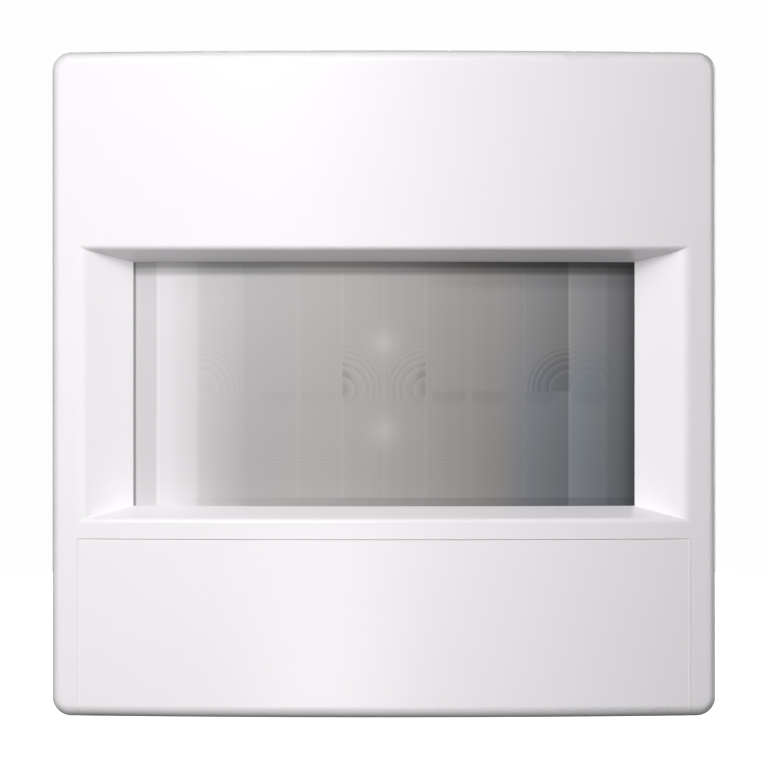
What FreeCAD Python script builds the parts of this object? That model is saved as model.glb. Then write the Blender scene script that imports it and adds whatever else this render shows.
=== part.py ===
import FreeCAD, Part
import math
import os
import types
import PartDesign
import Sketcher
import Spreadsheet

# A plug-on motion detector module for a wall socket frame. Its white front cover is square and
# gently convex. A lens window with splayed edges is sunk into it, and below the window a flap
# hinged at the bottom edge hides three dials, a mode switch and the levers of two shutters.
# Lengths are in millimetres. +X is the viewer's right, +Y goes into the wall and +Z is up.
# The origin is the centre of the cover's rear rim, which seats on the socket frame.

SIZES = [
    # front cover
    ("cover_width", 70.0),
    ("cover_height", 70.0),
    ("side_depth", 12.0),
    ("crown_rise", 6.0),
    ("corner_radius", 2.0),
    ("edge_round", 1.2),
    ("cover_wall", 2.0),
    ("well_wall", 1.2),
    # window and lens
    ("window_inset", 8.5),
    ("window_height", 25.74),
    ("sill_height", 2.08),
    ("splay_side", 5.2),
    ("splay_top", 1.35),
    ("window_round_side", 1.8),
    ("window_round_level", 0.6),
    ("lens_recess", 3.16),
    ("lens_radius", 80.0),
    ("lens_thickness", 0.8),
    ("lens_overlap", 2.3),
    ("retainer_depth", 2.0),
    ("retainer_lip", 2.1),
    ("fit_gap", 0.15),
    # control flap and its hinge
    ("flap_inset", 2.9),
    ("flap_height", 18.7),
    ("flap_gap", 0.17),
    ("flap_wall", 1.6),
    ("flap_rib_width", 1.2),
    ("flap_rib_gap", 0.75),
    ("knuckle_radius", 1.8),
    ("knuckle_gap", 0.35),
    ("knuckle_wall", 1.2),
    ("hinge_pin_radius", 0.8),
    ("hinge_pin_length", 1.4),
    ("running_gap", 0.06),
    # control panel and its controls
    ("panel_recess", 2.4),
    ("panel_thickness", 1.2),
    ("panel_ledge", 1.2),
    ("panel_seat_side", 3.78),
    ("panel_seat_top", 1.0),
    ("control_gap", 0.75),
    ("dial_spacing", 9.5),
    ("dial_radius", 2.9),
    ("dial_stand", 1.4),
    ("dial_gap", 0.2),
    ("dial_hub_radius", 2.2),
    ("dial_hub_length", 3.2),
    ("dial_slot_width", 0.9),
    ("dial_slot_end", 0.7),
    ("dial_slot_depth", 0.8),
    ("trimmer_size", 7.6),
    ("trimmer_depth", 4.0),
    ("trimmer_clearance", 0.2),
    ("switch_spacing", 15.0),
    ("switch_width", 13.0),
    ("switch_height", 7.0),
    ("switch_channel_depth", 2.0),
    ("slider_width", 3.2),
    ("slider_height", 2.2),
    ("slider_foot_width", 4.8),
    ("slider_foot_height", 2.8),
    ("slider_travel", 2.5),
    ("control_board_thickness", 1.2),
    ("control_board_gap", 0.55),
    # sensors, their holder and the shutters
    ("sensor_across", 6.6),
    ("sensor_inset", 1.2),
    ("sensor_turn_angle", 30.0),
    ("can_radius", 4.6),
    ("can_height", 4.3),
    ("can_flange_rim", 0.2),
    ("can_flange_height", 0.5),
    ("filter_width", 4.4),
    ("filter_height", 3.4),
    ("filter_depth", 0.5),
    ("lead_radius", 0.22),
    ("lead_circle", 2.54),
    ("holder_width", 32.0),
    ("holder_height", 28.0),
    ("holder_thickness", 1.0),
    ("bracket_width", 22.0),
    ("bracket_reach", 3.0),
    ("bracket_thickness", 1.4),
    ("shutter_across", 7.0),
    ("shutter_gap", 1.04),
    ("shutter_wall", 0.8),
    ("shutter_height", 22.0),
    ("shutter_start_angle", 62.0),
    ("shutter_sweep_angle", 36.0),
    ("shutter_swing_angle", 45.0),
    ("arm_thickness", 1.2),
    ("arm_width", 3.0),
    ("shutter_hub_radius", 1.8),
    ("stub_radius", 1.2),
    ("lever_below", 2.0),
    ("lever_stand", 3.0),
    ("lever_clearance", 0.5),
    ("lever_width", 1.6),
    ("lever_slot_height", 1.7),
    ("lever_slot_gap", 0.3),
    ("led_radius", 1.5),
    ("led_height", 8.0),
    ("photodiode_radius", 2.5),
    # main board
    ("board_gap", 0.5),
    ("board_front", 3.0),
    ("board_thickness", 1.6),
    ("header_spacing", 2.54),
    ("header_height", 2.5),
    ("header_pin_radius", 0.32),
    # parts on the rear face of the main board
    ("controller_across", 12.0),
    ("controller_below", 14.0),
    ("controller_width", 7.0),
    ("controller_depth", 1.0),
    ("regulator_across", 14.0),
    ("regulator_below", 13.0),
    ("regulator_width", 6.5),
    ("regulator_height", 3.6),
    ("regulator_depth", 1.6),
    ("crystal_inset", 8.5),
    ("crystal_below", 23.0),
    ("crystal_width", 11.0),
    ("crystal_height", 4.6),
    ("crystal_depth", 3.4),
    ("amplifier_below", 10.0),
    ("amplifier_width", 5.0),
    ("amplifier_height", 4.0),
    ("amplifier_depth", 1.5),
    ("capacitor_gap", 0.35),
    ("capacitor_drop", 12.0),
    ("capacitor_radius", 3.15),
    ("capacitor_depth", 5.2),
    ("capacitor_bevel", 0.4),
    ("chip_width", 2.0),
    ("chip_height", 1.25),
    ("chip_depth", 0.6),
    ("chip_spacing", 4.0),
    ("chip_inset", 2.5),
    ("chip_row_spacing", 3.0),
    # rear housing
    ("flange_thickness", 1.2),
    ("flange_inset", 0.3),
    ("flange_gap", 0.15),
    ("flange_round", 1.0),
    ("box_inset", 9.0),
    ("box_wall", 1.5),
    ("box_depth", 13.0),
    ("box_round", 2.0),
    ("post_radius", 2.6),
    ("post_inset", 3.0),
    ("boss_radius", 2.2),
    ("boss_inset", 4.25),
    ("boss_below_top", 9.0),
    ("boss_above_bottom", 12.5),
    # fasteners
    ("screw_radius", 1.1),
    ("screw_head_radius", 2.0),
    ("screw_length", 6.5),
    ("board_screw_radius", 1.0),
    ("board_screw_head", 1.9),
    ("board_screw_length", 7.0),
    ("screw_gap", 0.03),
    # plug and retaining springs
    ("plug_width", 18.0),
    ("plug_height", 10.0),
    ("plug_drop", 8.5),
    ("plug_stand", 1.5),
    ("plug_foot", 1.5),
    ("pin_spacing_across", 10.16),
    ("pin_spacing_up", 5.08),
    ("contact_radius", 0.5),
    ("contact_tail_radius", 0.3),
    ("contact_stand", 6.5),
    ("spring_width", 8.0),
    ("spring_strip", 0.5),
    ("spring_front", 1.8),
    ("spring_back", 0.8),
    ("spring_bulge", 1.9),
    ("spring_foot", 1.6),
]

doc = FreeCAD.newDocument("MotionDetector")
sheet = doc.addObject("Spreadsheet::Sheet", "Sizes")
for row, (alias, number) in enumerate(SIZES, start=1):
    sheet.set("A%d" % row, str(number))
    sheet.setAlias("A%d" % row, alias)
doc.recompute()


# A length that carries both its formula on the sheet and its number
class Size:
    def __init__(self, text, number):
        self.text = text
        self.number = number

    def __add__(self, other):
        return joined(self, "+", other, self.number + number_of(other))

    def __radd__(self, other):
        return joined(other, "+", self, number_of(other) + self.number)

    def __sub__(self, other):
        return joined(self, "-", other, self.number - number_of(other))

    def __rsub__(self, other):
        return joined(other, "-", self, number_of(other) - self.number)

    def __mul__(self, other):
        return joined(self, "*", other, self.number * number_of(other))

    def __rmul__(self, other):
        return joined(other, "*", self, number_of(other) * self.number)

    def __truediv__(self, other):
        return joined(self, "/", other, self.number / number_of(other))

    def __neg__(self):
        return Size("(0 - %s)" % self.text, -self.number)


def number_of(value):
    return value.number if isinstance(value, Size) else float(value)


def text_of(value):
    if isinstance(value, Size):
        return value.text
    return "(0 - %r)" % -float(value) if value < 0 else repr(float(value))


def joined(first, sign, second, number):
    return Size("(%s %s %s)" % (text_of(first), sign, text_of(second)), number)


def root(value):
    return Size("sqrt(%s)" % value.text, math.sqrt(value.number))


def arc_depth(radius, across):
    """How far an arc of this radius has fallen back from its middle at this distance from it."""
    return radius - root(radius * radius - across * across)


S = types.SimpleNamespace(**{alias: Size("Sizes." + alias, number) for alias, number in SIZES})

# Plain lengths that size nothing: the axis, a small overshoot of a cut and a far one.
ZERO = Size("0", 0.0)
MARGIN = Size("1", 1.0)
BEYOND = Size("30", 30.0)

# How near an edge's middle has to be to a place to count as there, and so on a rounded form.
TOLERANCE = 0.01
LOOSE = 0.2


def bind(thing, prop, value):
    thing.setExpression(prop, text_of(value))


def place(thing, x=0, y=0, z=0, turn=None):
    """Puts an object at a bound position, after an optional rotation given as axis and angle."""
    if turn:
        thing.Placement = FreeCAD.Placement(FreeCAD.Vector(), FreeCAD.Rotation(turn[0], turn[1]))
    bind(thing, "Placement.Base.x", x)
    bind(thing, "Placement.Base.y", y)
    bind(thing, "Placement.Base.z", z)
    return thing


def box(name, x, y, z):
    solid = doc.addObject("Part::Box", name)
    bind(solid, "Length", x[1] - x[0])
    bind(solid, "Width", y[1] - y[0])
    bind(solid, "Height", z[1] - z[0])
    return place(solid, x[0], y[0], z[0])


# Turns that lay a cylinder along X and along Y, and the heading of a drawn +X turned to the viewer.
QUARTER = 90
ALONG_X = (FreeCAD.Vector(0, 1, 0), QUARTER)
ALONG_Y = (FreeCAD.Vector(1, 0, 0), -QUARTER)
FORWARDS = -QUARTER


def rod(name, radius, span, across, direction):
    """A cylinder along X, Y or Z: span gives its two ends, across its two other coordinates."""
    solid = doc.addObject("Part::Cylinder", name)
    bind(solid, "Radius", radius)
    bind(solid, "Height", span[1] - span[0])
    if direction == "X":
        return place(solid, span[0], across[0], across[1], ALONG_X)
    if direction == "Y":
        return place(solid, across[0], span[0], across[1], ALONG_Y)
    return place(solid, across[0], across[1], span[0])


def fused(name, shapes):
    union = doc.addObject("Part::MultiFuse", name)
    union.Shapes = shapes
    union.Refine = True
    return union


def cut(name, base, tools):
    result = doc.addObject("Part::Cut", name)
    result.Base = base
    result.Tool = tools[0] if len(tools) == 1 else fused(name + "_tools", tools)
    result.Refine = True
    return result


def common(name, base, tool):
    result = doc.addObject("Part::Common", name)
    result.Base = base
    result.Tool = tool
    return result


def group(name, shapes):
    """Identical pieces kept together as one node of separate solids."""
    result = doc.addObject("Part::Compound", name)
    result.Links = shapes
    return result


def rounded(name, base, *choices):
    """Rounds edges of base. Each choice is a radius and a test that accepts an edge's middle."""
    doc.recompute()
    chosen = []
    for radius, is_chosen in choices:
        for index, edge in enumerate(base.Shape.Edges, start=1):
            if is_chosen(edge.CenterOfMass, edge):
                chosen.append((index, number_of(radius), number_of(radius)))
    result = doc.addObject("Part::Fillet", name)
    result.Base = base
    result.Edges = chosen
    return result


def near(first, second, tolerance=TOLERANCE):
    return abs(first - number_of(second)) < tolerance


def soften(body, name, radius, is_chosen):
    """Adds a bound fillet to a body, on the edges whose middle is_chosen accepts."""
    doc.recompute()
    base = body.Tip
    edges = enumerate(base.Shape.Edges, start=1)
    chosen = ["Edge%d" % index for index, edge in edges if is_chosen(edge.CenterOfMass, edge)]
    feature = body.newObject("PartDesign::Fillet", name)
    feature.Base = (base, chosen)
    bind(feature, "Radius", radius)
    return body


def plane_of(body, role):
    return next(item for item in body.Origin.OriginFeatures if item.Role == role)


def new_sketch(name, body=None, role="XY_Plane", height=0):
    """A sketch in a body's origin plane, or alone in the XY plane, at a bound height."""
    if body is None:
        sketch = doc.addObject("Sketcher::SketchObject", name)
        bind(sketch, "Placement.Base.z", height)
        return sketch
    sketch = body.newObject("Sketcher::SketchObject", name)
    sketch.AttachmentSupport = [(plane_of(body, role), "")]
    sketch.MapMode = "FlatFace"
    bind(sketch, "AttachmentOffset.Base.z", height)
    return sketch


def fix(sketch, kind, places, value):
    """Adds a dimension to a sketch and binds it to the sheet."""
    index = sketch.addConstraint(Sketcher.Constraint(kind, *places, number_of(value)))
    bind(sketch, "Constraints[%d]" % index, value)


def draw_outline(sketch, points):
    """A closed outline of straight lines through bound points."""
    corners = [FreeCAD.Vector(number_of(x), number_of(y), 0) for x, y in points]
    count = len(corners)
    for index in range(count):
        sketch.addGeometry(Part.LineSegment(corners[index], corners[(index + 1) % count]), False)
    for index, (x, y) in enumerate(points):
        sketch.addConstraint(Sketcher.Constraint("Coincident", index, 2, (index + 1) % count, 1))
        fix(sketch, "DistanceX", (-1, 1, index, 1), x)
        fix(sketch, "DistanceY", (-1, 1, index, 1), y)


def draw_arc(sketch, half_width, apex, radius):
    """An arc bulging towards -Y, centred on the sketch's vertical axis. Returns its index."""
    middle = number_of(apex) + number_of(radius)
    half_angle = math.asin(number_of(half_width) / number_of(radius))
    circle = Part.Circle(FreeCAD.Vector(0, middle, 0), FreeCAD.Vector(0, 0, 1), number_of(radius))
    start = -math.pi / 2 - half_angle
    index = sketch.addGeometry(Part.ArcOfCircle(circle, start, -math.pi / 2 + half_angle), False)
    sketch.addConstraint(Sketcher.Constraint("PointOnObject", index, 3, -2))
    fix(sketch, "DistanceY", (-1, 1, index, 3), apex + radius)
    fix(sketch, "Radius", (index,), radius)
    fix(sketch, "DistanceX", (-1, 1, index, 1), -half_width)
    fix(sketch, "DistanceX", (-1, 1, index, 2), half_width)
    return index


def draw_arc_block(sketch, half_width, apex, radius, back):
    """An outline with a convex front, straight sides and a straight back."""
    arc = draw_arc(sketch, half_width, apex, radius)
    side = number_of(apex + arc_depth(radius, half_width))
    half, rear = number_of(half_width), number_of(back)
    corners = [(half, side), (half, rear), (-half, rear), (-half, side)]
    vectors = [FreeCAD.Vector(x, y, 0) for x, y in corners]
    right = sketch.addGeometry(Part.LineSegment(vectors[0], vectors[1]), False)
    rear_line = sketch.addGeometry(Part.LineSegment(vectors[1], vectors[2]), False)
    left = sketch.addGeometry(Part.LineSegment(vectors[2], vectors[3]), False)
    sketch.addConstraint(Sketcher.Constraint("Coincident", arc, 2, right, 1))
    sketch.addConstraint(Sketcher.Constraint("Coincident", right, 2, rear_line, 1))
    sketch.addConstraint(Sketcher.Constraint("Coincident", rear_line, 2, left, 1))
    sketch.addConstraint(Sketcher.Constraint("Coincident", left, 2, arc, 1))
    sketch.addConstraint(Sketcher.Constraint("Vertical", right))
    sketch.addConstraint(Sketcher.Constraint("Vertical", left))
    sketch.addConstraint(Sketcher.Constraint("Horizontal", rear_line))
    fix(sketch, "DistanceY", (-1, 1, right, 2), back)


def draw_arc_plate(sketch, half_width, apex, radius, thickness):
    """An outline between two arcs about one centre, closed by straight sides."""
    front = draw_arc(sketch, half_width, apex, radius)
    rear = draw_arc(sketch, half_width, apex + thickness, radius - thickness)
    ends = [sketch.Geometry[arc] for arc in (front, rear)]
    right = sketch.addGeometry(Part.LineSegment(ends[0].EndPoint, ends[1].EndPoint), False)
    left = sketch.addGeometry(Part.LineSegment(ends[1].StartPoint, ends[0].StartPoint), False)
    sketch.addConstraint(Sketcher.Constraint("Coincident", front, 2, right, 1))
    sketch.addConstraint(Sketcher.Constraint("Coincident", right, 2, rear, 2))
    sketch.addConstraint(Sketcher.Constraint("Coincident", rear, 1, left, 1))
    sketch.addConstraint(Sketcher.Constraint("Coincident", left, 2, front, 1))


def pad(body, sketch, length):
    feature = body.newObject("PartDesign::Pad", sketch.Name + "_pad")
    feature.Profile = sketch
    bind(feature, "Length", length)
    return feature


def pocket(body, sketch, length, towards_normal=False):
    """Cuts a sketch into a body against the sketch's normal, or along it."""
    feature = body.newObject("PartDesign::Pocket", sketch.Name + "_pocket")
    feature.Profile = sketch
    feature.Reversed = towards_normal
    bind(feature, "Length", length)
    return feature


def new_body(name):
    return doc.addObject("PartDesign::Body", name)


def arc_block(name, half_width, apex, radius, back, span):
    """A solid with a convex front, between two heights."""
    body = new_body(name)
    sketch = new_sketch(name + "_plan", body, height=span[0])
    draw_arc_block(sketch, half_width, apex, radius, back)
    pad(body, sketch, span[1] - span[0])
    return body


def arc_plate(name, half_width, apex, radius, thickness, span):
    """A curved plate of even thickness, between two heights."""
    body = new_body(name)
    sketch = new_sketch(name + "_plan", body, height=span[0])
    draw_arc_plate(sketch, half_width, apex, radius, thickness)
    pad(body, sketch, span[1] - span[0])
    return body


def rectangle(x, y):
    return [(x[0], y[0]), (x[1], y[0]), (x[1], y[1]), (x[0], y[1])]


def facing_plate(name, outline, y):
    """A flat plate that faces the viewer: drawn on its rear face and padded forwards."""
    body = new_body(name)
    sketch = new_sketch(name + "_outline", body, "XZ_Plane", -y[1])
    draw_outline(sketch, outline)
    pad(body, sketch, y[1] - y[0])
    return body


def plate(name, x, y, z):
    return facing_plate(name, rectangle(x, z), y)


def turned(name, profile, x, y, z, angle=0):
    """A piece turned about an axis along Y: profile points are radius and distance along Y."""
    body = new_body(name)
    sketch = new_sketch(name + "_profile", body)
    draw_outline(sketch, profile)
    feature = body.newObject("PartDesign::Revolution", name + "_turned")
    feature.Profile = sketch
    feature.ReferenceAxis = (sketch, ["V_Axis"])
    feature.Angle = 4 * QUARTER
    return place(body, x, y, z, (FreeCAD.Vector(0, 0, 1), angle))


def block_on(name, centre, size, front):
    """A rectangular component: centre across and up, width and height, front and rear."""
    half_width, half_height = size[0] / 2, size[1] / 2
    x = (centre[0] - half_width, centre[0] + half_width)
    z = (centre[1] - half_height, centre[1] + half_height)
    return box(name, x, front, z)


parts = []


def keep(thing, node):
    """Names the finished object of a piece and puts it on the list of nodes."""
    thing.Label = node
    parts.append(thing)
    return thing


half_width = S.cover_width / 2
half_height = S.cover_height / 2
front_apex = -(S.side_depth + S.crown_rise)
front_radius = (half_width * half_width + S.crown_rise * S.crown_rise) / (2 * S.crown_rise)
inside = half_width - S.cover_wall
inside_up = half_height - S.cover_wall

# The rear housing's flange closes the cover from behind, just inside its rim.
flange_y = (-(S.flange_inset + S.flange_thickness), -S.flange_inset)

# The flap stands on the bottom edge, and the window above it. All that looks out of the window
# is placed from the window's own height.
flap_half = half_width - S.flap_inset
flap_top = S.flap_height - half_height
window_half = half_width - S.window_inset
window_half_up = S.window_height / 2
window_z = flap_top + S.sill_height + S.splay_top + window_half_up

# The lens is a curved plate behind the window, a little larger than the opening.
lens_apex = front_apex + S.lens_recess
lens_half = window_half + S.lens_overlap
lens_half_up = window_half_up + S.lens_overlap
lens_z = (window_z - lens_half_up, window_z + lens_half_up)
pocket_half = lens_half + S.fit_gap
pocket_half_up = lens_half_up + S.fit_gap

# The flap covers the recess of the controls, and both share the width of its opening.
recess_half = flap_half + S.flap_gap
hinge_y = flange_y[0] - S.flange_gap - S.knuckle_wall - S.knuckle_gap - S.knuckle_radius
hinge_z = S.knuckle_radius - half_height
knuckle_top = hinge_z + S.knuckle_radius + S.flap_gap
rear_of_knuckle = hinge_y + S.knuckle_radius + S.knuckle_gap

# The control panel lies in the recess on a ledge, in front of the chamber that the flange closes.
panel_front = S.side_depth - S.panel_recess
panel_y = (-panel_front, S.panel_thickness - panel_front)
chamber_y = panel_y[1] + S.panel_ledge
seat_half = recess_half - S.panel_seat_side
seat_top = flap_top - S.panel_seat_top
seat_bottom = knuckle_top + S.knuckle_wall

# Screws through the flange end in bosses inside the cover's side walls.
boss_across = half_width - S.boss_inset


def window_section(name, height, across, middle, side):
    """One level of the window cutter: a shallow arc at the back and straight sides in front."""
    sketch = new_sketch(name, height=height)
    rise = side - middle
    radius = (across * across + rise * rise) / (2 * rise)
    draw_arc_block(sketch, across, middle, radius, -BEYOND)
    return sketch


def blend(first, second, share):
    return first + (second - first) * share


# Shares of the way from the window's inner edge to its outer one. The cutter's slopes are drawn a
# little past the front, and its sides from well behind the lens to well in front of the cover.
SLOPES_END = 1.4
SIDES_START = -1.0
SIDES_END = 3.0


def window_cutter():
    """The splayed opening: ruled top and bottom slopes between flat side slopes."""
    outer_half = window_half + S.splay_side
    outer_up = window_half_up + S.splay_top
    wide_inner = outer_half + MARGIN
    wide_outer = wide_inner + S.splay_side
    inner_side = lens_apex + arc_depth(S.lens_radius, wide_inner)
    outer_side = front_apex + arc_depth(front_radius, wide_outer)
    far_up = blend(window_half_up, outer_up, SLOPES_END)
    inner = (wide_inner, lens_apex, inner_side)
    far = (
        blend(wide_inner, wide_outer, SLOPES_END),
        blend(lens_apex, front_apex, SLOPES_END),
        blend(inner_side, outer_side, SLOPES_END),
    )
    levels = [
        window_section("window_level_bottom", window_z - far_up, *far),
        window_section("window_level_low", window_z - window_half_up, *inner),
        window_section("window_level_high", window_z + window_half_up, *inner),
        window_section("window_level_top", window_z + far_up, *far),
    ]
    slopes = doc.addObject("Part::Loft", "window_slopes")
    slopes.Sections = levels
    slopes.Solid = True
    slopes.Ruled = True
    inner_y = lens_apex + arc_depth(S.lens_radius, window_half)
    outer_y = front_apex + arc_depth(front_radius, outer_half)
    ends = [(blend(window_half, outer_half, share), blend(inner_y, outer_y, share))
            for share in (SIDES_START, SIDES_END)]
    wedge = new_body("window_sides")
    sketch = new_sketch("window_sides_plan", wedge, height=-half_height)
    outline = [ends[0], ends[1], (ends[1][0], -BEYOND), (-ends[1][0], -BEYOND)]
    outline += [(-x, y) for x, y in reversed(ends)]
    draw_outline(sketch, outline)
    pad(wedge, sketch, S.cover_height)
    return common("window_cutter", slopes, wedge)


def cover_blank():
    """The cover's outer form: a convex block with round corners and softened front edges."""
    body = arc_block("cover_blank", half_width, front_apex, front_radius, ZERO,
                     (-half_height, half_height))
    body = soften(body, "cover_corners", S.corner_radius, lambda middle, edge:
                  near(abs(middle.x), half_width) and near(abs(middle.z), half_height))
    return soften(body, "cover_rim", S.edge_round, lambda middle, edge:
                  edge.BoundBox.YMax < number_of(-S.side_depth / 2))


def is_level_edge(middle, edge):
    """True for the sharp upper and lower edge of the window, on the cover's front."""
    up = middle.z - number_of(window_z)
    return near(abs(up), window_half_up + S.splay_top, LOOSE) and edge.Length > number_of(window_half)


def is_upright_edge(middle, edge):
    """True for the sharp left and right edge of the window, on the cover's front."""
    up = middle.z - number_of(window_z)
    return near(up, 0) and near(abs(middle.x), window_half + S.splay_side, LOOSE)


def cover_hollows():
    """Everything that is hollow inside the cover, behind its front wall."""
    upper = arc_block("upper_hollow", inside, front_apex + S.cover_wall,
                      front_radius - S.cover_wall, MARGIN,
                      (window_z + pocket_half_up + S.well_wall, inside_up))
    lens_pocket = arc_block("lens_pocket", pocket_half, lens_apex, S.lens_radius,
                            chamber_y + MARGIN,
                            (window_z - pocket_half_up, window_z + pocket_half_up))
    rear = box("rear_hollow", (-inside, inside), (chamber_y, MARGIN),
               (seat_bottom, inside_up))
    flange_space = box("flange_hollow", (-inside, inside),
                       (rear_of_knuckle + S.knuckle_wall, MARGIN),
                       (-inside_up, seat_bottom + MARGIN))
    recess = box("recess_hollow", (-recess_half, recess_half), (-BEYOND, panel_y[1]),
                 (-half_height - MARGIN, flap_top))
    behind_panel = box("panel_hollow", (-seat_half, seat_half),
                       (panel_y[1] - MARGIN, chamber_y + MARGIN), (seat_bottom, seat_top))
    knuckle = box("knuckle_hollow", (-recess_half, recess_half),
                  (panel_y[1] - MARGIN, rear_of_knuckle), (-half_height - MARGIN, knuckle_top))
    return [upper, lens_pocket, rear, flange_space, recess, behind_panel, knuckle]


def boss_places():
    for side in (-1, 1):
        yield "upper", side, half_height - S.boss_below_top
        yield "lower", side, S.boss_above_bottom - half_height


def front_cover():
    blank = cover_blank()
    windowed = cut("cover_windowed", blank, [window_cutter()])
    softened = rounded("cover_softened", windowed, (S.window_round_level, is_level_edge),
                       (S.window_round_side, is_upright_edge))
    shell = cut("cover_shell", softened, cover_hollows())
    wall_y = front_apex + arc_depth(front_radius, boss_across) + S.cover_wall / 2
    bosses = []
    holes = []
    for level, side, up in boss_places():
        start = wall_y if level == "upper" else chamber_y - MARGIN / 2
        name = "cover_boss_%s_%s" % (level, "left" if side < 0 else "right")
        across = (side * boss_across, up)
        bosses.append(rod(name, S.boss_radius, (start, flange_y[0]), across, "Y"))
        bore = S.screw_radius + S.screw_gap
        deep = (flange_y[1] - S.screw_length - MARGIN / 2, flange_y[1])
        holes.append(rod(name + "_bore", bore, deep, across, "Y"))
    socket = S.hinge_pin_radius + S.running_gap
    reach = flap_half + S.hinge_pin_length + S.fit_gap
    span = (-reach, reach)
    holes.append(rod("cover_pin_sockets", socket, span, (hinge_y, hinge_z), "X"))
    return blank, cut("cover_finished", fused("cover_with_bosses", [shell] + bosses), holes)


blank, cover = front_cover()
keep(cover, "front_cover")

lens = arc_plate("lens_plate", lens_half, lens_apex, S.lens_radius, S.lens_thickness, lens_z)
keep(lens, "fresnel_lens")

retainer_apex = lens_apex + S.lens_thickness
retainer_radius = S.lens_radius - S.lens_thickness
retainer_blank = arc_plate("retainer_blank", lens_half, retainer_apex, retainer_radius,
                           S.retainer_depth, lens_z)
retainer_open = lens_half - S.retainer_lip
retainer_hole = box("retainer_hole", (-retainer_open, retainer_open), (-BEYOND, MARGIN),
                    (lens_z[0] + S.retainer_lip, lens_z[1] - S.retainer_lip))
keep(cut("retainer_finished", retainer_blank, [retainer_hole]), "lens_retainer")


def control_flap():
    """A curved panel with a lower lip that ends in a round knuckle on the hinge axis."""
    top = flap_top - S.flap_gap
    panel = arc_plate("flap_panel", flap_half, front_apex, front_radius, S.flap_wall,
                      (-half_height, top))
    lip = arc_block("flap_lip", flap_half, front_apex, front_radius, hinge_y,
                    (-half_height, -half_height + S.flap_wall))
    side_front = front_apex + arc_depth(front_radius, flap_half)
    ribs = []
    for side in (-1, 1):
        outer = side * flap_half
        inner = side * (flap_half - S.flap_rib_width)
        x = (outer, inner) if side < 0 else (inner, outer)
        y = (side_front + S.flap_wall / 2, panel_y[0] - S.flap_rib_gap)
        ribs.append(box("flap_rib_%s" % ("left" if side < 0 else "right"), x, y,
                        (-half_height + S.flap_wall / 2, top - S.flap_wall)))
    shell = common("flap_shell", blank, fused("flap_blank", [panel, lip] + ribs))
    knuckle = rod("flap_knuckle", S.knuckle_radius, (-flap_half, flap_half), (hinge_y, hinge_z), "X")
    pin_half = flap_half + S.hinge_pin_length
    pins = rod("flap_pins", S.hinge_pin_radius, (-pin_half, pin_half), (hinge_y, hinge_z), "X")
    return fused("flap_finished", [shell, knuckle, pins])


keep(control_flap(), "control_flap")

# The controls stand in one row: three dials on the left and a slide switch on the right.
# The row is centred in the recess and stands on its floor.
DIALS = ["sensitivity", "brightness", "time"]
controls_z = seat_bottom + S.control_gap + S.trimmer_size / 2
trimmer_y = (panel_y[1] + S.trimmer_clearance, panel_y[1] + S.trimmer_clearance + S.trimmer_depth)
dials_width = S.dial_spacing * (len(DIALS) - 1)
row_width = S.trimmer_size / 2 + dials_width + S.switch_spacing + S.switch_width / 2
first_dial = (S.trimmer_size - row_width) / 2
switch_across = first_dial + dials_width + S.switch_spacing
lever_centre = flap_top - S.lever_below
shutter_half = S.shutter_height / 2


def dial_across(index):
    return first_dial + index * S.dial_spacing


def lever_slot(side):
    """The opening that a shutter's lever swings in."""
    swing = math.tan(math.radians(number_of(S.shutter_swing_angle) / 2))
    reach = panel_front * swing + S.lever_width / 2 + S.lever_slot_gap
    middle = side * S.shutter_across
    half_slot = S.lever_slot_height / 2
    return (middle - reach, middle + reach), (lever_centre - half_slot, lever_centre + half_slot)


def control_panel():
    half = recess_half - S.fit_gap
    body = plate("panel_plate", (-half, half), panel_y,
                 (knuckle_top + S.fit_gap, flap_top - S.fit_gap))
    rims = new_sketch("panel_round_holes", body, "XZ_Plane", panel_front)
    for index in range(len(DIALS)):
        centre = FreeCAD.Vector(number_of(dial_across(index)), number_of(controls_z), 0)
        hole = S.dial_radius + S.dial_gap
        circle = Part.Circle(centre, FreeCAD.Vector(0, 0, 1), number_of(hole))
        rims.addGeometry(circle, False)
        fix(rims, "Radius", (index,), hole)
        fix(rims, "DistanceX", (-1, 1, index, 3), dial_across(index))
        fix(rims, "DistanceY", (-1, 1, index, 3), controls_z)
    pocket(body, rims, S.panel_thickness + MARGIN)
    for side in (-1, 1):
        name = "panel_lever_slot_%s" % ("left" if side < 0 else "right")
        sketch = new_sketch(name, body, "XZ_Plane", panel_front)
        draw_outline(sketch, rectangle(*lever_slot(side)))
        pocket(body, sketch, S.panel_thickness + MARGIN)
    window = new_sketch("panel_switch_slot", body, "XZ_Plane", panel_front)
    half_slot = S.slider_width / 2 + S.slider_travel + S.dial_gap
    half_up = S.slider_height / 2 + S.dial_gap
    x = (switch_across - half_slot, switch_across + half_slot)
    draw_outline(window, rectangle(x, (controls_z - half_up, controls_z + half_up)))
    pocket(body, window, S.panel_thickness + MARGIN)
    return body


keep(control_panel(), "control_panel")


def trimmer(index, name):
    """A trimmer's square body with a blind bore for its dial's hub."""
    centre = (dial_across(index), controls_z)
    body = block_on(name + "_trimmer_block", centre, (S.trimmer_size, S.trimmer_size), trimmer_y)
    bore = rod(name + "_trimmer_bore", S.dial_hub_radius + S.running_gap,
               (trimmer_y[0] - MARGIN, panel_y[1] + S.dial_hub_length + S.trimmer_clearance),
               centre, "Y")
    return cut(name + "_trimmer_cut", body, [bore])


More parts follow.
